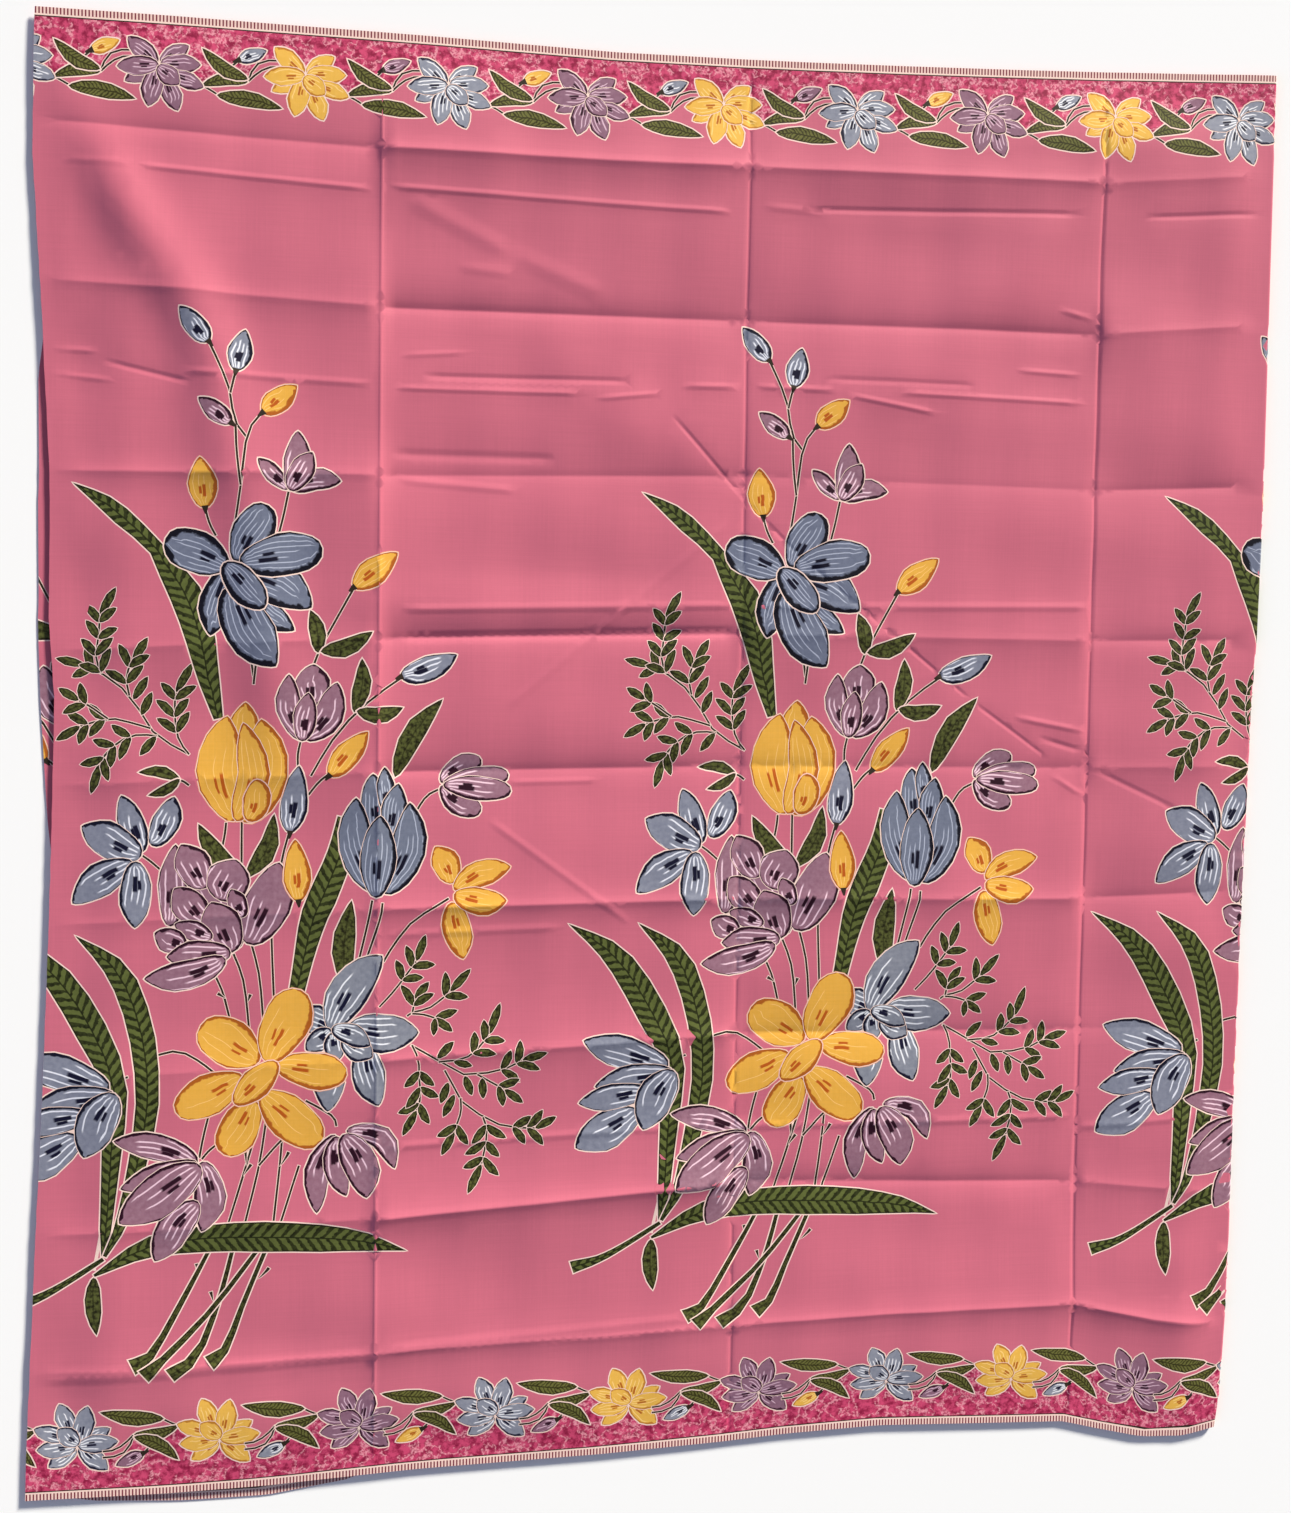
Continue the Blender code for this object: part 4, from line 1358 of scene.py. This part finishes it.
def close_sheet(name, upper, lower, upper_share):
    """A closed shell from an upper and a lower side with the same rim."""
    shift = len(upper.places)
    rim = np.array(upper.face.rim)
    low_rim = aligned_rim(lower.face, upper.face.points[rim[0]]) + shift
    sides = np.column_stack([np.roll(rim, -1), rim, low_rim, np.roll(low_rim, -1)])
    places = np.vstack([upper.places, lower.places])
    top, base = upper.face.triangles, lower.face.triangles[:, ::-1]
    faces = top.tolist() + (base + shift).tolist() + sides.tolist()
    mesh = bpy.data.meshes.new(name)
    mesh.from_pydata((places * MM).tolist(), [], faces)
    top_strokes, top_dyes, top_hands = stroke_corners(upper.face, upper.marks)
    base_strokes, base_dyes, base_hands = stroke_corners(lower.face, lower.marks)
    strokes = np.vstack([top_strokes.reshape(-1, 4), base_strokes[:, ::-1].reshape(-1, 4),
                         np.zeros((4 * len(sides), 4))])
    plain_rim = np.zeros(len(sides), int)
    mesh.polygons.foreach_set("material_index", np.concatenate([top_dyes, base_dyes, plain_rim]))
    cloth_points = np.vstack([upper.face.points, lower.face.points])
    flat = np.vstack([cloth_points[corners].reshape(-1, 2) for corners in (top, base + shift, sides)])
    add_uv(mesh, "Cloth", flat * MM)
    add_uv(mesh, "Drawing", strokes[:, :2])
    add_uv(mesh, "Measure", strokes[:, 2:])
    add_uv(mesh, "OFBake", bake_places(flat, (3 * len(top), 3 * len(top) + 3 * len(base)), upper_share))
    hand = mesh.attributes.new("hand", "FLOAT", "FACE")
    hand.data.foreach_set("value", np.concatenate([top_hands, base_hands, plain_rim + 0.5]))
    normals = np.vstack([upper.normals[top].reshape(-1, 3), -lower.normals[base].reshape(-1, 3),
                         np.repeat(rim_normals(places, sides), 4, axis=0)])
    mesh.shade_smooth()
    mesh.normals_split_custom_set(normals.tolist())
    made = bpy.data.objects.new(name, mesh)
    bpy.context.scene.collection.objects.link(made)
    print(name, "triangles:", len(top) + len(base) + 2 * len(sides))
    return made


print("the rim takes", RIM_SHARE, "of the width of the painted picture")

# %% [markdown]
# ## The upper half
# The printed face takes every mark. The hidden face below it needs the same creases,
# or it would poke through the printed one, but no print, so it has far fewer points.

# %% The upper half
front_plain = triangulate(front_face.points[front_face.rim], sheet_points(PLAIN), [])
front_top = Side(front_face, *lay_front(front_face.points), front_marks)
front_base = Side(front_plain, *lay_front(front_plain.points, SHEET), [])
batik_front = close_sheet("batik_front", front_top, front_base, upper_share=0.9)

# %% [markdown]
# ## The lower half
# Past the turn the cloth runs back to the left on the table, so its printed face
# looks down and the print is reversed as seen from above. The packet was pressed with
# both halves together, so the lower half has the same folds, pressed nearly flat.

# %% Outline and print of the lower half
BACK_RELIEF = 0.55
BACK_CREASE = 5.0
FULL_LIFT = 3.5
LEAST_STRENGTH = 0.3
LOWER_INSET = (40.0, 30.0)
LOWER_FAR_INSET = (28.0, 26.0)
LOWER_HEM_INSET = 34.0
BACK_REACH = (HALF_X - 20, 3 * HALF_X + 40)


def turned_over(across, up):
    """The flat points of the print that lie at given places of the lower half."""
    return np.column_stack([2 * turn_start(up) + TURN_LENGTH - across, up])


def lower_place(flat):
    """Where flat points of the print lie on the lower half, as seen from above."""
    x, up = flat[:, 0], flat[:, 1]
    across = 2 * turn_start(up) + TURN_LENGTH - x
    past = read_table(BACK_HEM, "past", across)
    y = up + hem_shift(flat_along(across, up), up)
    y = y - nearness(up + HALF_Y) * past + nearness(HALF_Y - up) * BACK_HEM[-1].past
    return np.column_stack([across, y])


def lower_outline():
    """The outline of the lower half: its own hems and left edge, and the end of the leg."""
    ups = np.linspace(-HALF_Y, HALF_Y, EDGE_POINTS)
    shares = np.linspace(0, 1, HEM_STEPS - 1)[1:-1]
    left_x = left_edge(ups) - read_table(BACK_SIDE, "past", ups)
    right_x = turn_start(ups) + TURN_RADIUS - TURN_LEG - SEAM_GAP
    left, right = lower_place(turned_over(left_x, ups)), lower_place(turned_over(right_x, ups))
    hems = []
    for end, up in ((0, -HALF_Y), (-1, HALF_Y)):
        line = left[end, 0] + shares * (right[end, 0] - left[end, 0])
        hems.append(lower_place(turned_over(line, np.full(len(line), up))))
    return np.vstack([left[:1], hems[0], right, hems[1][::-1], left[:0:-1]])


def lower_relief(points):
    """How far the lower half lifts off the table along its pressed folds."""
    x, y = points[:, 0], points[:, 1]
    lift = np.zeros(len(points))
    for fold in CROSS_FOLDS:
        strength = np.clip(np.abs(cross_fold_lift(fold, x)) / FULL_LIFT, LEAST_STRENGTH, 1)
        lift += BACK_RELIEF * strength * np.exp(-((y - cross_fold_line(fold, x)) / BACK_CREASE)**2)
    for panel in PANEL_FOLDS:
        lift += BACK_RELIEF * np.exp(-((x - panel.along) / BACK_CREASE)**2)
    return BACK_RELIEF * np.tanh(lift / BACK_RELIEF)


def lay_lower(points, depth):
    """Places and upward normals of the lower half at a height above its printed face."""
    slopes = []
    for step in np.eye(2) * SLOPE_STEP:
        slopes.append((lower_relief(points + step) - lower_relief(points - step)) / (2 * SLOPE_STEP))
    normal = np.column_stack([-slopes[0], -slopes[1], np.ones(len(points))])
    return np.column_stack([points, lower_relief(points) + depth]), unit(normal)


def lower_points(step, clearance, outline):
    """Crease rows and grid points of the lower half."""
    low, high = outline.min(axis=0) + LOWER_INSET, outline.max(axis=0) - LOWER_FAR_INSET
    grid = [(x, y) for y in np.arange(low[1], high[1], step) for x in np.arange(low[0], high[0], step)]
    creases = crease_points(low[0], high[0], small=False)
    creases = creases[np.abs(creases[:, 1]) < HALF_Y - LOWER_HEM_INSET]
    return thinned(np.vstack([creases, grid]), clearance)


back_edge = lower_outline()
back_marks = carried(printed_marks(*BACK_REACH), lower_place)
print("marks on the lower half:", len(back_marks))

# %% [markdown]
# ## Both faces of the lower half
# The printed face looks down to the table and carries the whole print. Batik is dyed
# on both sides, so the face that looks up shows the same print. It is cut only with
# the marks that reach the strips at the left edge and the lower hem that peek out.

# %% The lower half
PEEK_X = -470.0
PEEK_Y = -552.0
PRINTED_STEP, PRINTED_CLEARANCE = 12.0, 3.0
PEEKING_STEP, PEEKING_CLEARANCE = 24.0, 5.0


def peeks_out(mark):
    """Whether a mark reaches the strips of the lower half that show."""
    return mark.loop[:, 0].min() < PEEK_X or (mark.spine is None and mark.loop[:, 1].min() < PEEK_Y)


peek_marks = [mark for mark in back_marks if peeks_out(mark)]
printed_points = lower_points(PRINTED_STEP, PRINTED_CLEARANCE, back_edge)
peeking_points = lower_points(PEEKING_STEP, PEEKING_CLEARANCE, back_edge)
back_lower = triangulate(back_edge, printed_points, back_marks)
back_rim = back_lower.points[back_lower.rim]
back_upper = triangulate(back_rim, peeking_points, peek_marks)
back_top = Side(back_upper, *lay_lower(back_upper.points, SHEET), peek_marks)
back_base = Side(back_lower, *lay_lower(back_lower.points, 0.0), back_marks)
batik_back = close_sheet("batik_back", back_top, back_base, upper_share=0.1)

# %% [markdown]
# ## Colours and shared effects
# Colours are written as they look on the cloth, in steps of 0 to 255, and turned into
# linear light here. Two effects serve every dye: the cotton itself, with its weave and
# uneven threads, and the painter's strokes, which follow each petal.

# %% Node helpers
def dye_colour(red, green, blue):
    """A colour as it looks on the cloth, 0 to 255, as linear light."""
    shares = [value / 255 for value in (red, green, blue)]
    return tuple(v / 12.92 if v <= 0.04045 else ((v + 0.055) / 1.055)**2.4 for v in shares) + (1.0,)


class Field:
    """A value that changes over the cloth. Sums and products of fields become Math nodes."""

    def __init__(self, tree, socket):
        self.tree = tree
        self.socket = socket

    def __add__(self, other):
        return maths("ADD", self, other)

    def __sub__(self, other):
        return maths("SUBTRACT", self, other)

    def __rsub__(self, other):
        return maths("SUBTRACT", other, self)

    def __mul__(self, other):
        return maths("MULTIPLY", self, other)

    def __truediv__(self, other):
        return maths("DIVIDE", self, other)

    def __abs__(self):
        return maths("ABSOLUTE", self)

    __radd__ = __add__
    __rmul__ = __mul__


def feed(socket, value):
    """Put a number, a colour or a field into a socket."""
    if isinstance(value, Field):
        value.tree.links.new(value.socket, socket)
    else:
        socket.default_value = value


def maths(operation, *values):
    """One Math node over fields and plain numbers."""
    tree = next(value.tree for value in values if isinstance(value, Field))
    node = tree.nodes.new("ShaderNodeMath")
    node.operation = operation
    for socket, value in zip(node.inputs, values):
        feed(socket, value)
    return Field(tree, node.outputs[0])


def step_up(value, low, high):
    """0 below low, 1 above high and a smooth rise between."""
    node = value.tree.nodes.new("ShaderNodeMapRange")
    node.interpolation_type = "SMOOTHSTEP"
    for name, number in (("Value", value), ("From Min", low), ("From Max", high)):
        feed(node.inputs[name], number)
    return Field(value.tree, node.outputs["Result"])


def blend_colour(share, first, second):
    """Two colours mixed by a share."""
    node = share.tree.nodes.new("ShaderNodeMix")
    node.data_type = "RGBA"
    for index, value in ((0, share), (6, first), (7, second)):
        feed(node.inputs[index], value)
    return Field(share.tree, node.outputs[2])


def noise(vector, scale, detail=2.0, stretch=(1, 1, 1), roughness=0.5):
    """A noise value over some coordinates, stretched along an axis where asked."""
    tree = vector.tree
    mapping = tree.nodes.new("ShaderNodeMapping")
    mapping.inputs["Scale"].default_value = stretch
    feed(mapping.inputs["Vector"], vector)
    node = tree.nodes.new("ShaderNodeTexNoise")
    for name, value in (("Scale", scale), ("Detail", detail), ("Roughness", roughness)):
        node.inputs[name].default_value = value
    tree.links.new(mapping.outputs[0], node.inputs["Vector"])
    return Field(tree, node.outputs["Fac"])


def uv_parts(tree, name):
    """The vector of a UV map and its two numbers."""
    node = tree.nodes.new("ShaderNodeUVMap")
    node.uv_map = name
    parts = tree.nodes.new("ShaderNodeSeparateXYZ")
    tree.links.new(node.outputs[0], parts.inputs[0])
    return [Field(tree, socket) for socket in (node.outputs[0], parts.outputs[0], parts.outputs[1])]


def new_group(name, inputs, outputs):
    """A node group, the fields of its named inputs, and the sockets that it puts out."""
    group = bpy.data.node_groups.new(name, "ShaderNodeTree")
    for label, kind, value in inputs:
        group.interface.new_socket(label, in_out="INPUT", socket_type=kind).default_value = value
    for label, kind in outputs:
        group.interface.new_socket(label, in_out="OUTPUT", socket_type=kind)
    given = group.nodes.new("NodeGroupInput").outputs
    fields = [Field(group, given[label]) for label, kind, value in inputs]
    return group, fields, group.nodes.new("NodeGroupOutput").inputs


GROUND_PINK = (203, 107, 130)
print("ground pink in linear light:", [round(v, 3) for v in dye_colour(*GROUND_PINK)])

# %% [markdown]
# ## The cotton
# Fine cotton sheeting: threads a third of a millimetre apart, some a little thicker
# than others, which run as faint streaks. The dye took unevenly, in wide soft clouds.
# The weave is a bump, and the streaks and clouds also change the colour a little.

# %% Cotton group
THREADS_PER_METRE = 3000.0
ALONG_WEFT = (18, 900, 1)
ALONG_WARP = (900, 18, 1)
CLOUDS_PER_METRE = 14.0
WEAVE_HEIGHT = 0.25
STREAK_HEIGHT = 0.5
STREAK_ROUGHNESS = 0.12
THREAD_DEPTH = 0.00012
BUMP_STRENGTH = 0.35
FLOAT, COLOUR, VECTOR = "NodeSocketFloat", "NodeSocketColor", "NodeSocketVector"

cotton, (dye, streak_share, cloud_share, roughness), cotton_out = new_group(
    "cotton", [("Colour", COLOUR, (1, 1, 1, 1)), ("Streaks", FLOAT, 0.06), ("Clouds", FLOAT, 0.05),
               ("Roughness", FLOAT, 0.7)],
    [("Colour", COLOUR), ("Roughness", FLOAT), ("Normal", VECTOR)])
cloth, cloth_x, cloth_y = uv_parts(cotton, "Cloth")
streaks = noise(cloth, 1.0, 3.0, ALONG_WEFT) + noise(cloth, 1.0, 3.0, ALONG_WARP) - 1.0
clouds = noise(cloth, CLOUDS_PER_METRE, 3.0) - 0.5
brightness = 1.0 + (streaks * streak_share * 2.0 + clouds * cloud_share * 2.0)
scaled = cotton.nodes.new("ShaderNodeVectorMath")
scaled.operation = "SCALE"
feed(scaled.inputs[0], dye)
feed(scaled.inputs["Scale"], brightness)
cotton.links.new(scaled.outputs[0], cotton_out["Colour"])
feed(cotton_out["Roughness"], roughness + streaks * STREAK_ROUGHNESS)
weft, warp = [maths("SINE", place * (THREADS_PER_METRE * 2 * math.pi)) for place in (cloth_x, cloth_y)]
bump = cotton.nodes.new("ShaderNodeBump")
bump.inputs["Strength"].default_value = BUMP_STRENGTH
bump.inputs["Distance"].default_value = THREAD_DEPTH
feed(bump.inputs["Height"], weft * warp * WEAVE_HEIGHT + streaks * STREAK_HEIGHT)
cotton.links.new(bump.outputs[0], cotton_out["Normal"])
print("cotton group nodes:", len(cotton.nodes))

# %% [markdown]
# ## The strokes in a petal
# Each petal has a dark outline, heavier on one side, fine pale lines that fan out from
# its base, and one or two dark dashes near its heart. The distance to the outline comes
# from the half width and the place across, so a stroke keeps its real width.

# %% Stroke group
SIDE_WEIGHT = 0.6
TONES_PER_METRE = 260.0
OUTLINE_LEAST, OUTLINE_SPREAD = 0.35, 1.3
FAN_WANDER = 0.22
REACH_LEAST, REACH_SPREAD = 0.55, 0.6
DASH_WANDER = 0.16
DASHES = table("place size low high", (0.06, 1.0, 0.22, 0.46), (-0.24, 0.75, 0.28, 0.43))

strokes, (line_count, line_width, line_reach, outline, dash_width), strokes_out = new_group(
    "strokes", [("Lines", FLOAT, 7.0), ("Line width", FLOAT, 0.6), ("Reach", FLOAT, 0.9),
                ("Outline", FLOAT, 1.0), ("Dash width", FLOAT, 1.4)],
    [("Outline", FLOAT), ("Lines", FLOAT), ("Dash", FLOAT), ("Tone", FLOAT)])
along, across = uv_parts(strokes, "Drawing")[1:]
half, length = uv_parts(strokes, "Measure")[1:]
across = across * 2.0 - 1.0
hand_node = strokes.nodes.new("ShaderNodeAttribute")
hand_node.attribute_name = "hand"
hand = Field(strokes, hand_node.outputs["Fac"])

tone = noise(uv_parts(strokes, "Cloth")[0], TONES_PER_METRE, 3.0)
to_side = (1.0 - abs(across)) * half
to_tip = maths("MINIMUM", along, 1.0 - along) * length
outline_width = outline * (1.0 + across * SIDE_WEIGHT) * (OUTLINE_LEAST + tone * OUTLINE_SPREAD)
edge_share = maths("MINIMUM", to_side, to_tip) / outline_width

wobble = maths("SINE", along * 7.0 + hand * 19.0)
fan = across * (line_count * 0.5) + wobble * FAN_WANDER
from_line = abs(maths("FRACT", fan) - 0.5) * (half * 2.0 / line_count) / line_width
seed = strokes.nodes.new("ShaderNodeCombineXYZ")
feed(seed.inputs[0], maths("FLOOR", fan))
feed(seed.inputs[1], hand)
chance = strokes.nodes.new("ShaderNodeTexWhiteNoise")
chance.noise_dimensions = "2D"
strokes.links.new(seed.outputs[0], chance.inputs["Vector"])
drawn = Field(strokes, chance.outputs["Value"])
line_end = line_reach * (REACH_LEAST + drawn * REACH_SPREAD)
line = 1.0 - step_up(from_line, 0.35, 0.65)
clear_of_edge = step_up(edge_share, 1.1, 1.6)
begun = step_up(along, 0.05, 0.10)
ended = step_up(along - line_end, -0.04, 0.04)

dashes = []
for dash in DASHES:
    off = abs(across - (dash.place + (hand - 0.5) * DASH_WANDER)) * half
    thick = 1.0 - step_up(off / (dash_width * (0.5 * dash.size)), 0.8, 1.2)
    above_low = step_up(along, dash.low - 0.01, dash.low + 0.02)
    dashes.append(thick * (above_low * (1.0 - step_up(along, dash.high - 0.02, dash.high + 0.02))))

feed(strokes_out["Outline"], 1.0 - step_up(edge_share, 0.75, 1.25))
feed(strokes_out["Lines"], line * clear_of_edge * ((1.0 - ended) * begun))
feed(strokes_out["Dash"], maths("MAXIMUM", *dashes))
feed(strokes_out["Tone"], tone)
print("stroke group nodes:", len(strokes.nodes))

# %% [markdown]
# ## Leaves and straps
# A leaf is mottled green with a dark edge. A strap leaf is feathered: pale green lobes
# lean towards its tip from a dark rib, and those of one side stand between those of
# the other. The dark gaps between the lobes widen towards the edge.

# %% Leaf group
GRAINS_PER_METRE = 300.0
GRAIN_SHIFT = 4.0
SIDE_SHIFT = 0.25
GAP_WIDENING = 0.9

leaf_group, (lobe_pitch, slant, edge_width), leaf_out = new_group(
    "leaf strokes", [("Pitch", FLOAT, 8.0), ("Slant", FLOAT, 0.8), ("Edge", FLOAT, 0.9)],
    [("Lobes", FLOAT), ("Patches", FLOAT), ("Midrib", FLOAT), ("Edge", FLOAT)])
along, across = uv_parts(leaf_group, "Drawing")[1:]
half, length = uv_parts(leaf_group, "Measure")[1:]
signed = across * 2.0 - 1.0
across = abs(signed)
off_rib = across * half
grain = noise(uv_parts(leaf_group, "Cloth")[0], GRAINS_PER_METRE, 2.0) - 0.5
leaning = along * length + off_rib * slant + grain * GRAIN_SHIFT
turns = leaning / lobe_pitch + maths("SIGN", signed) * SIDE_SHIFT
wave = maths("SINE", turns * (2 * math.pi)) - across * across * GAP_WIDENING
feed(leaf_out["Lobes"], step_up(wave, -0.65, -0.15))
feed(leaf_out["Patches"], step_up(grain, -0.20, 0.16))
feed(leaf_out["Midrib"], 1.0 - step_up(off_rib, 0.3, 0.8))
feed(leaf_out["Edge"], 1.0 - step_up((half - off_rib) / edge_width, 0.6, 1.4))
print("leaf group nodes:", len(leaf_group.nodes))

# %% [markdown]
# ## The dyes
# Every dye is one material: its own colour and strokes, laid on the same cotton. The
# cotton is matt with a slight lustre, so each shader has a little sheen.

# %% Dye materials
STREAKS, CLOUDS, COTTON_ROUGHNESS = 0.06, 0.04, 0.62
SHEEN, SHEEN_ROUGHNESS, SPECULAR = 0.05, 0.4, 0.2
COMB_PITCH = 2.6
SMALL_LOBES, LOBES = 3.2, 8.0
TONE_SHARE = 0.25
BLOTCHES_PER_METRE, CRACKS_PER_METRE, BREAKS_PER_METRE = 170.0, 62.0, 420.0
VEIN_WIDTH, VEIN_SHARE = 0.045, 0.8
CREAM, WARM_HALO, DARK_STEM = (246, 218, 208), (240, 172, 140), (44, 34, 24)
MAGENTA_DARK, MAGENTA_LIGHT, WAX_VEIN = (140, 22, 64), (208, 74, 116), (242, 166, 182)
COMB_CREAM, COMB_MAGENTA = (240, 208, 200), (122, 46, 64)


def use_group(tree, group, **values):
    """The fields that a group puts out, once its inputs are set."""
    node = tree.nodes.new("ShaderNodeGroup")
    node.node_tree = group
    for name, value in values.items():
        feed(node.inputs[name.replace("_", " ")], value)
    return {socket.name: Field(tree, socket) for socket in node.outputs}


def dyed_cotton(name, colour_of):
    """A cotton material whose colour comes from a function of its node tree."""
    material = bpy.data.materials.new("batik_" + name)
    material.use_nodes = True
    tree = material.node_tree
    shader = tree.nodes["Principled BSDF"].inputs
    base = use_group(tree, cotton, Colour=colour_of(tree), Streaks=STREAKS, Clouds=CLOUDS,
                     Roughness=COTTON_ROUGHNESS)
    feed(shader["Base Color"], base["Colour"])
    feed(shader["Roughness"], base["Roughness"])
    feed(shader["Normal"], base["Normal"])
    shader["Sheen Weight"].default_value = SHEEN
    shader["Sheen Roughness"].default_value = SHEEN_ROUGHNESS
    shader["Specular IOR Level"].default_value = SPECULAR
    return material


def petal_colour(paint):
    """A function that builds a petal's colour: fill, tone, pale lines, dash and outline."""
    def build(tree):
        marks = use_group(tree, strokes, Lines=paint.lines, Line_width=paint.line_width,
                          Reach=paint.reach, Outline=paint.outline, Dash_width=paint.dash_width)
        pale, dash, dark = dye_colour(*paint.pale), dye_colour(*paint.dash), dye_colour(*paint.dark)
        colour = blend_colour(marks["Tone"] * TONE_SHARE, dye_colour(*paint.fill), pale)
        colour = blend_colour(marks["Lines"], colour, pale)
        colour = blend_colour(marks["Dash"], colour, dash)
        return blend_colour(marks["Outline"], colour, dark)
    return build


def leaf_colour(dark, light, shape, strength, rib, pitch=LOBES):
    """A function that builds a leaf's colour: lobes or patches, a midrib and a dark edge."""
    def build(tree):
        marks = use_group(tree, leaf_group, Pitch=pitch)
        shade = dye_colour(*dark)
        share = marks[shape] * strength + marks["Patches"] * (1 - strength)
        colour = blend_colour(share, shade, dye_colour(*light))
        colour = blend_colour(marks["Midrib"] * rib, colour, shade)
        return blend_colour(marks["Edge"], colour, shade)
    return build


def plain_colour(dye):
    """A function that gives one even dye."""
    return lambda tree: dye_colour(*dye)


def marbled(tree):
    """The mottled magenta of the border: dark clouds, and pale veins as in cracked wax."""
    cloth = uv_parts(tree, "Cloth")[0]
    clouds = step_up(noise(cloth, BLOTCHES_PER_METRE, 4.0, roughness=0.65), 0.36, 0.62)
    colour = blend_colour(clouds, dye_colour(*MAGENTA_DARK), dye_colour(*MAGENTA_LIGHT))
    wax = noise(cloth, CRACKS_PER_METRE, 4.0, roughness=0.6)
    vein = 1.0 - step_up(abs(wax - 0.5), 0.004, VEIN_WIDTH)
    vein = vein * step_up(noise(cloth, BREAKS_PER_METRE, 2.0), 0.32, 0.6)
    return blend_colour(vein * VEIN_SHARE, colour, dye_colour(*WAX_VEIN))


def comb_ticks(tree):
    """The comb of the selvedge: fine magenta ticks on cream."""
    cloth_x = uv_parts(tree, "Cloth")[1]
    wave = maths("SINE", cloth_x * (2 * math.pi / (COMB_PITCH * MM)))
    tick = step_up(wave, -0.1, 0.5)
    return blend_colour(tick, dye_colour(*COMB_CREAM), dye_colour(*COMB_MAGENTA))


Paint = namedtuple("Paint", "fill pale dark dash lines line_width reach outline dash_width")
PETAL_PAINTS = {
    "blue": ((104, 110, 132), (228, 232, 246), (2, 4, 32), (4, 4, 38), 5, 1.2, 0.64, 1.4, 3.4),
    "blue_dim": ((96, 104, 126), (176, 184, 206), (0, 0, 20), (0, 0, 30), 7, 0.8, 0.85, 1.8, 3.0),
    "blue_wide": ((94, 102, 126), (176, 184, 206), (0, 0, 20), (0, 0, 30), 8, 0.8, 0.9, 2.8, 3.2),
    "blue_lily": ((106, 112, 130), (236, 240, 250), (6, 8, 38), (8, 8, 44), 6, 1.2, 0.65, 1.4, 3.0),
    "lilac": ((128, 82, 104), (238, 204, 222), (38, 0, 24), (38, 0, 24), 5, 1.2, 0.66, 1.4, 3.6),
    "yellow": ((228, 170, 62), (248, 200, 118), (172, 92, 26), (184, 88, 20), 5, 0.6, 0.8, 1.9, 2.6),
    "blue_small": ((118, 124, 144), (240, 242, 250), (28, 30, 54), (18, 18, 46), 5, 0.9, 0.7, 0.9, 1.7),
    "lilac_small": ((124, 82, 106), (220, 186, 206), (54, 16, 40), (44, 4, 30), 5, 0.8, 0.7, 0.9, 1.6),
    "yellow_small":
        ((232, 180, 72), (252, 212, 132), (190, 126, 44), (184, 104, 30), 5, 0.8, 0.7, 0.9, 1.6),
}
colours = {
    "ground": plain_colour(GROUND_PINK),
    "resist": plain_colour(CREAM),
    "halo": plain_colour(WARM_HALO),
    "band": marbled,
    "comb": comb_ticks,
    "stem": plain_colour(DARK_STEM),
    "leaf": leaf_colour((26, 24, 0), (88, 94, 46), "Patches", 0.8, 0.6),
    "leaf_small": leaf_colour((44, 40, 8), (108, 110, 56), "Lobes", 0.7, 0.9, SMALL_LOBES),
    "strap": leaf_colour((24, 28, 0), (94, 104, 52), "Lobes", 0.8, 0.9),
}
for dye_name, values in PETAL_PAINTS.items():
    colours[dye_name] = petal_colour(Paint(*values))
looks = {dye_name: dyed_cotton(dye_name, colour_of) for dye_name, colour_of in colours.items()}
for sheet in (batik_front, batik_back):
    for dye_name in DYES:
        sheet.data.materials.append(looks[dye_name])
print("dye materials:", len(looks))

# %% [markdown]
# ## Hand over
# Each sheet replaces its plain solid and rides on the part's one body. The upper half
# lies folded on the lower half, which lies on the table.

# %% Hand over
for sheet, node in ((batik_front, "front_layer"), (batik_back, "back_layer")):
    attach(sheet, "root")
    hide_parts(node)
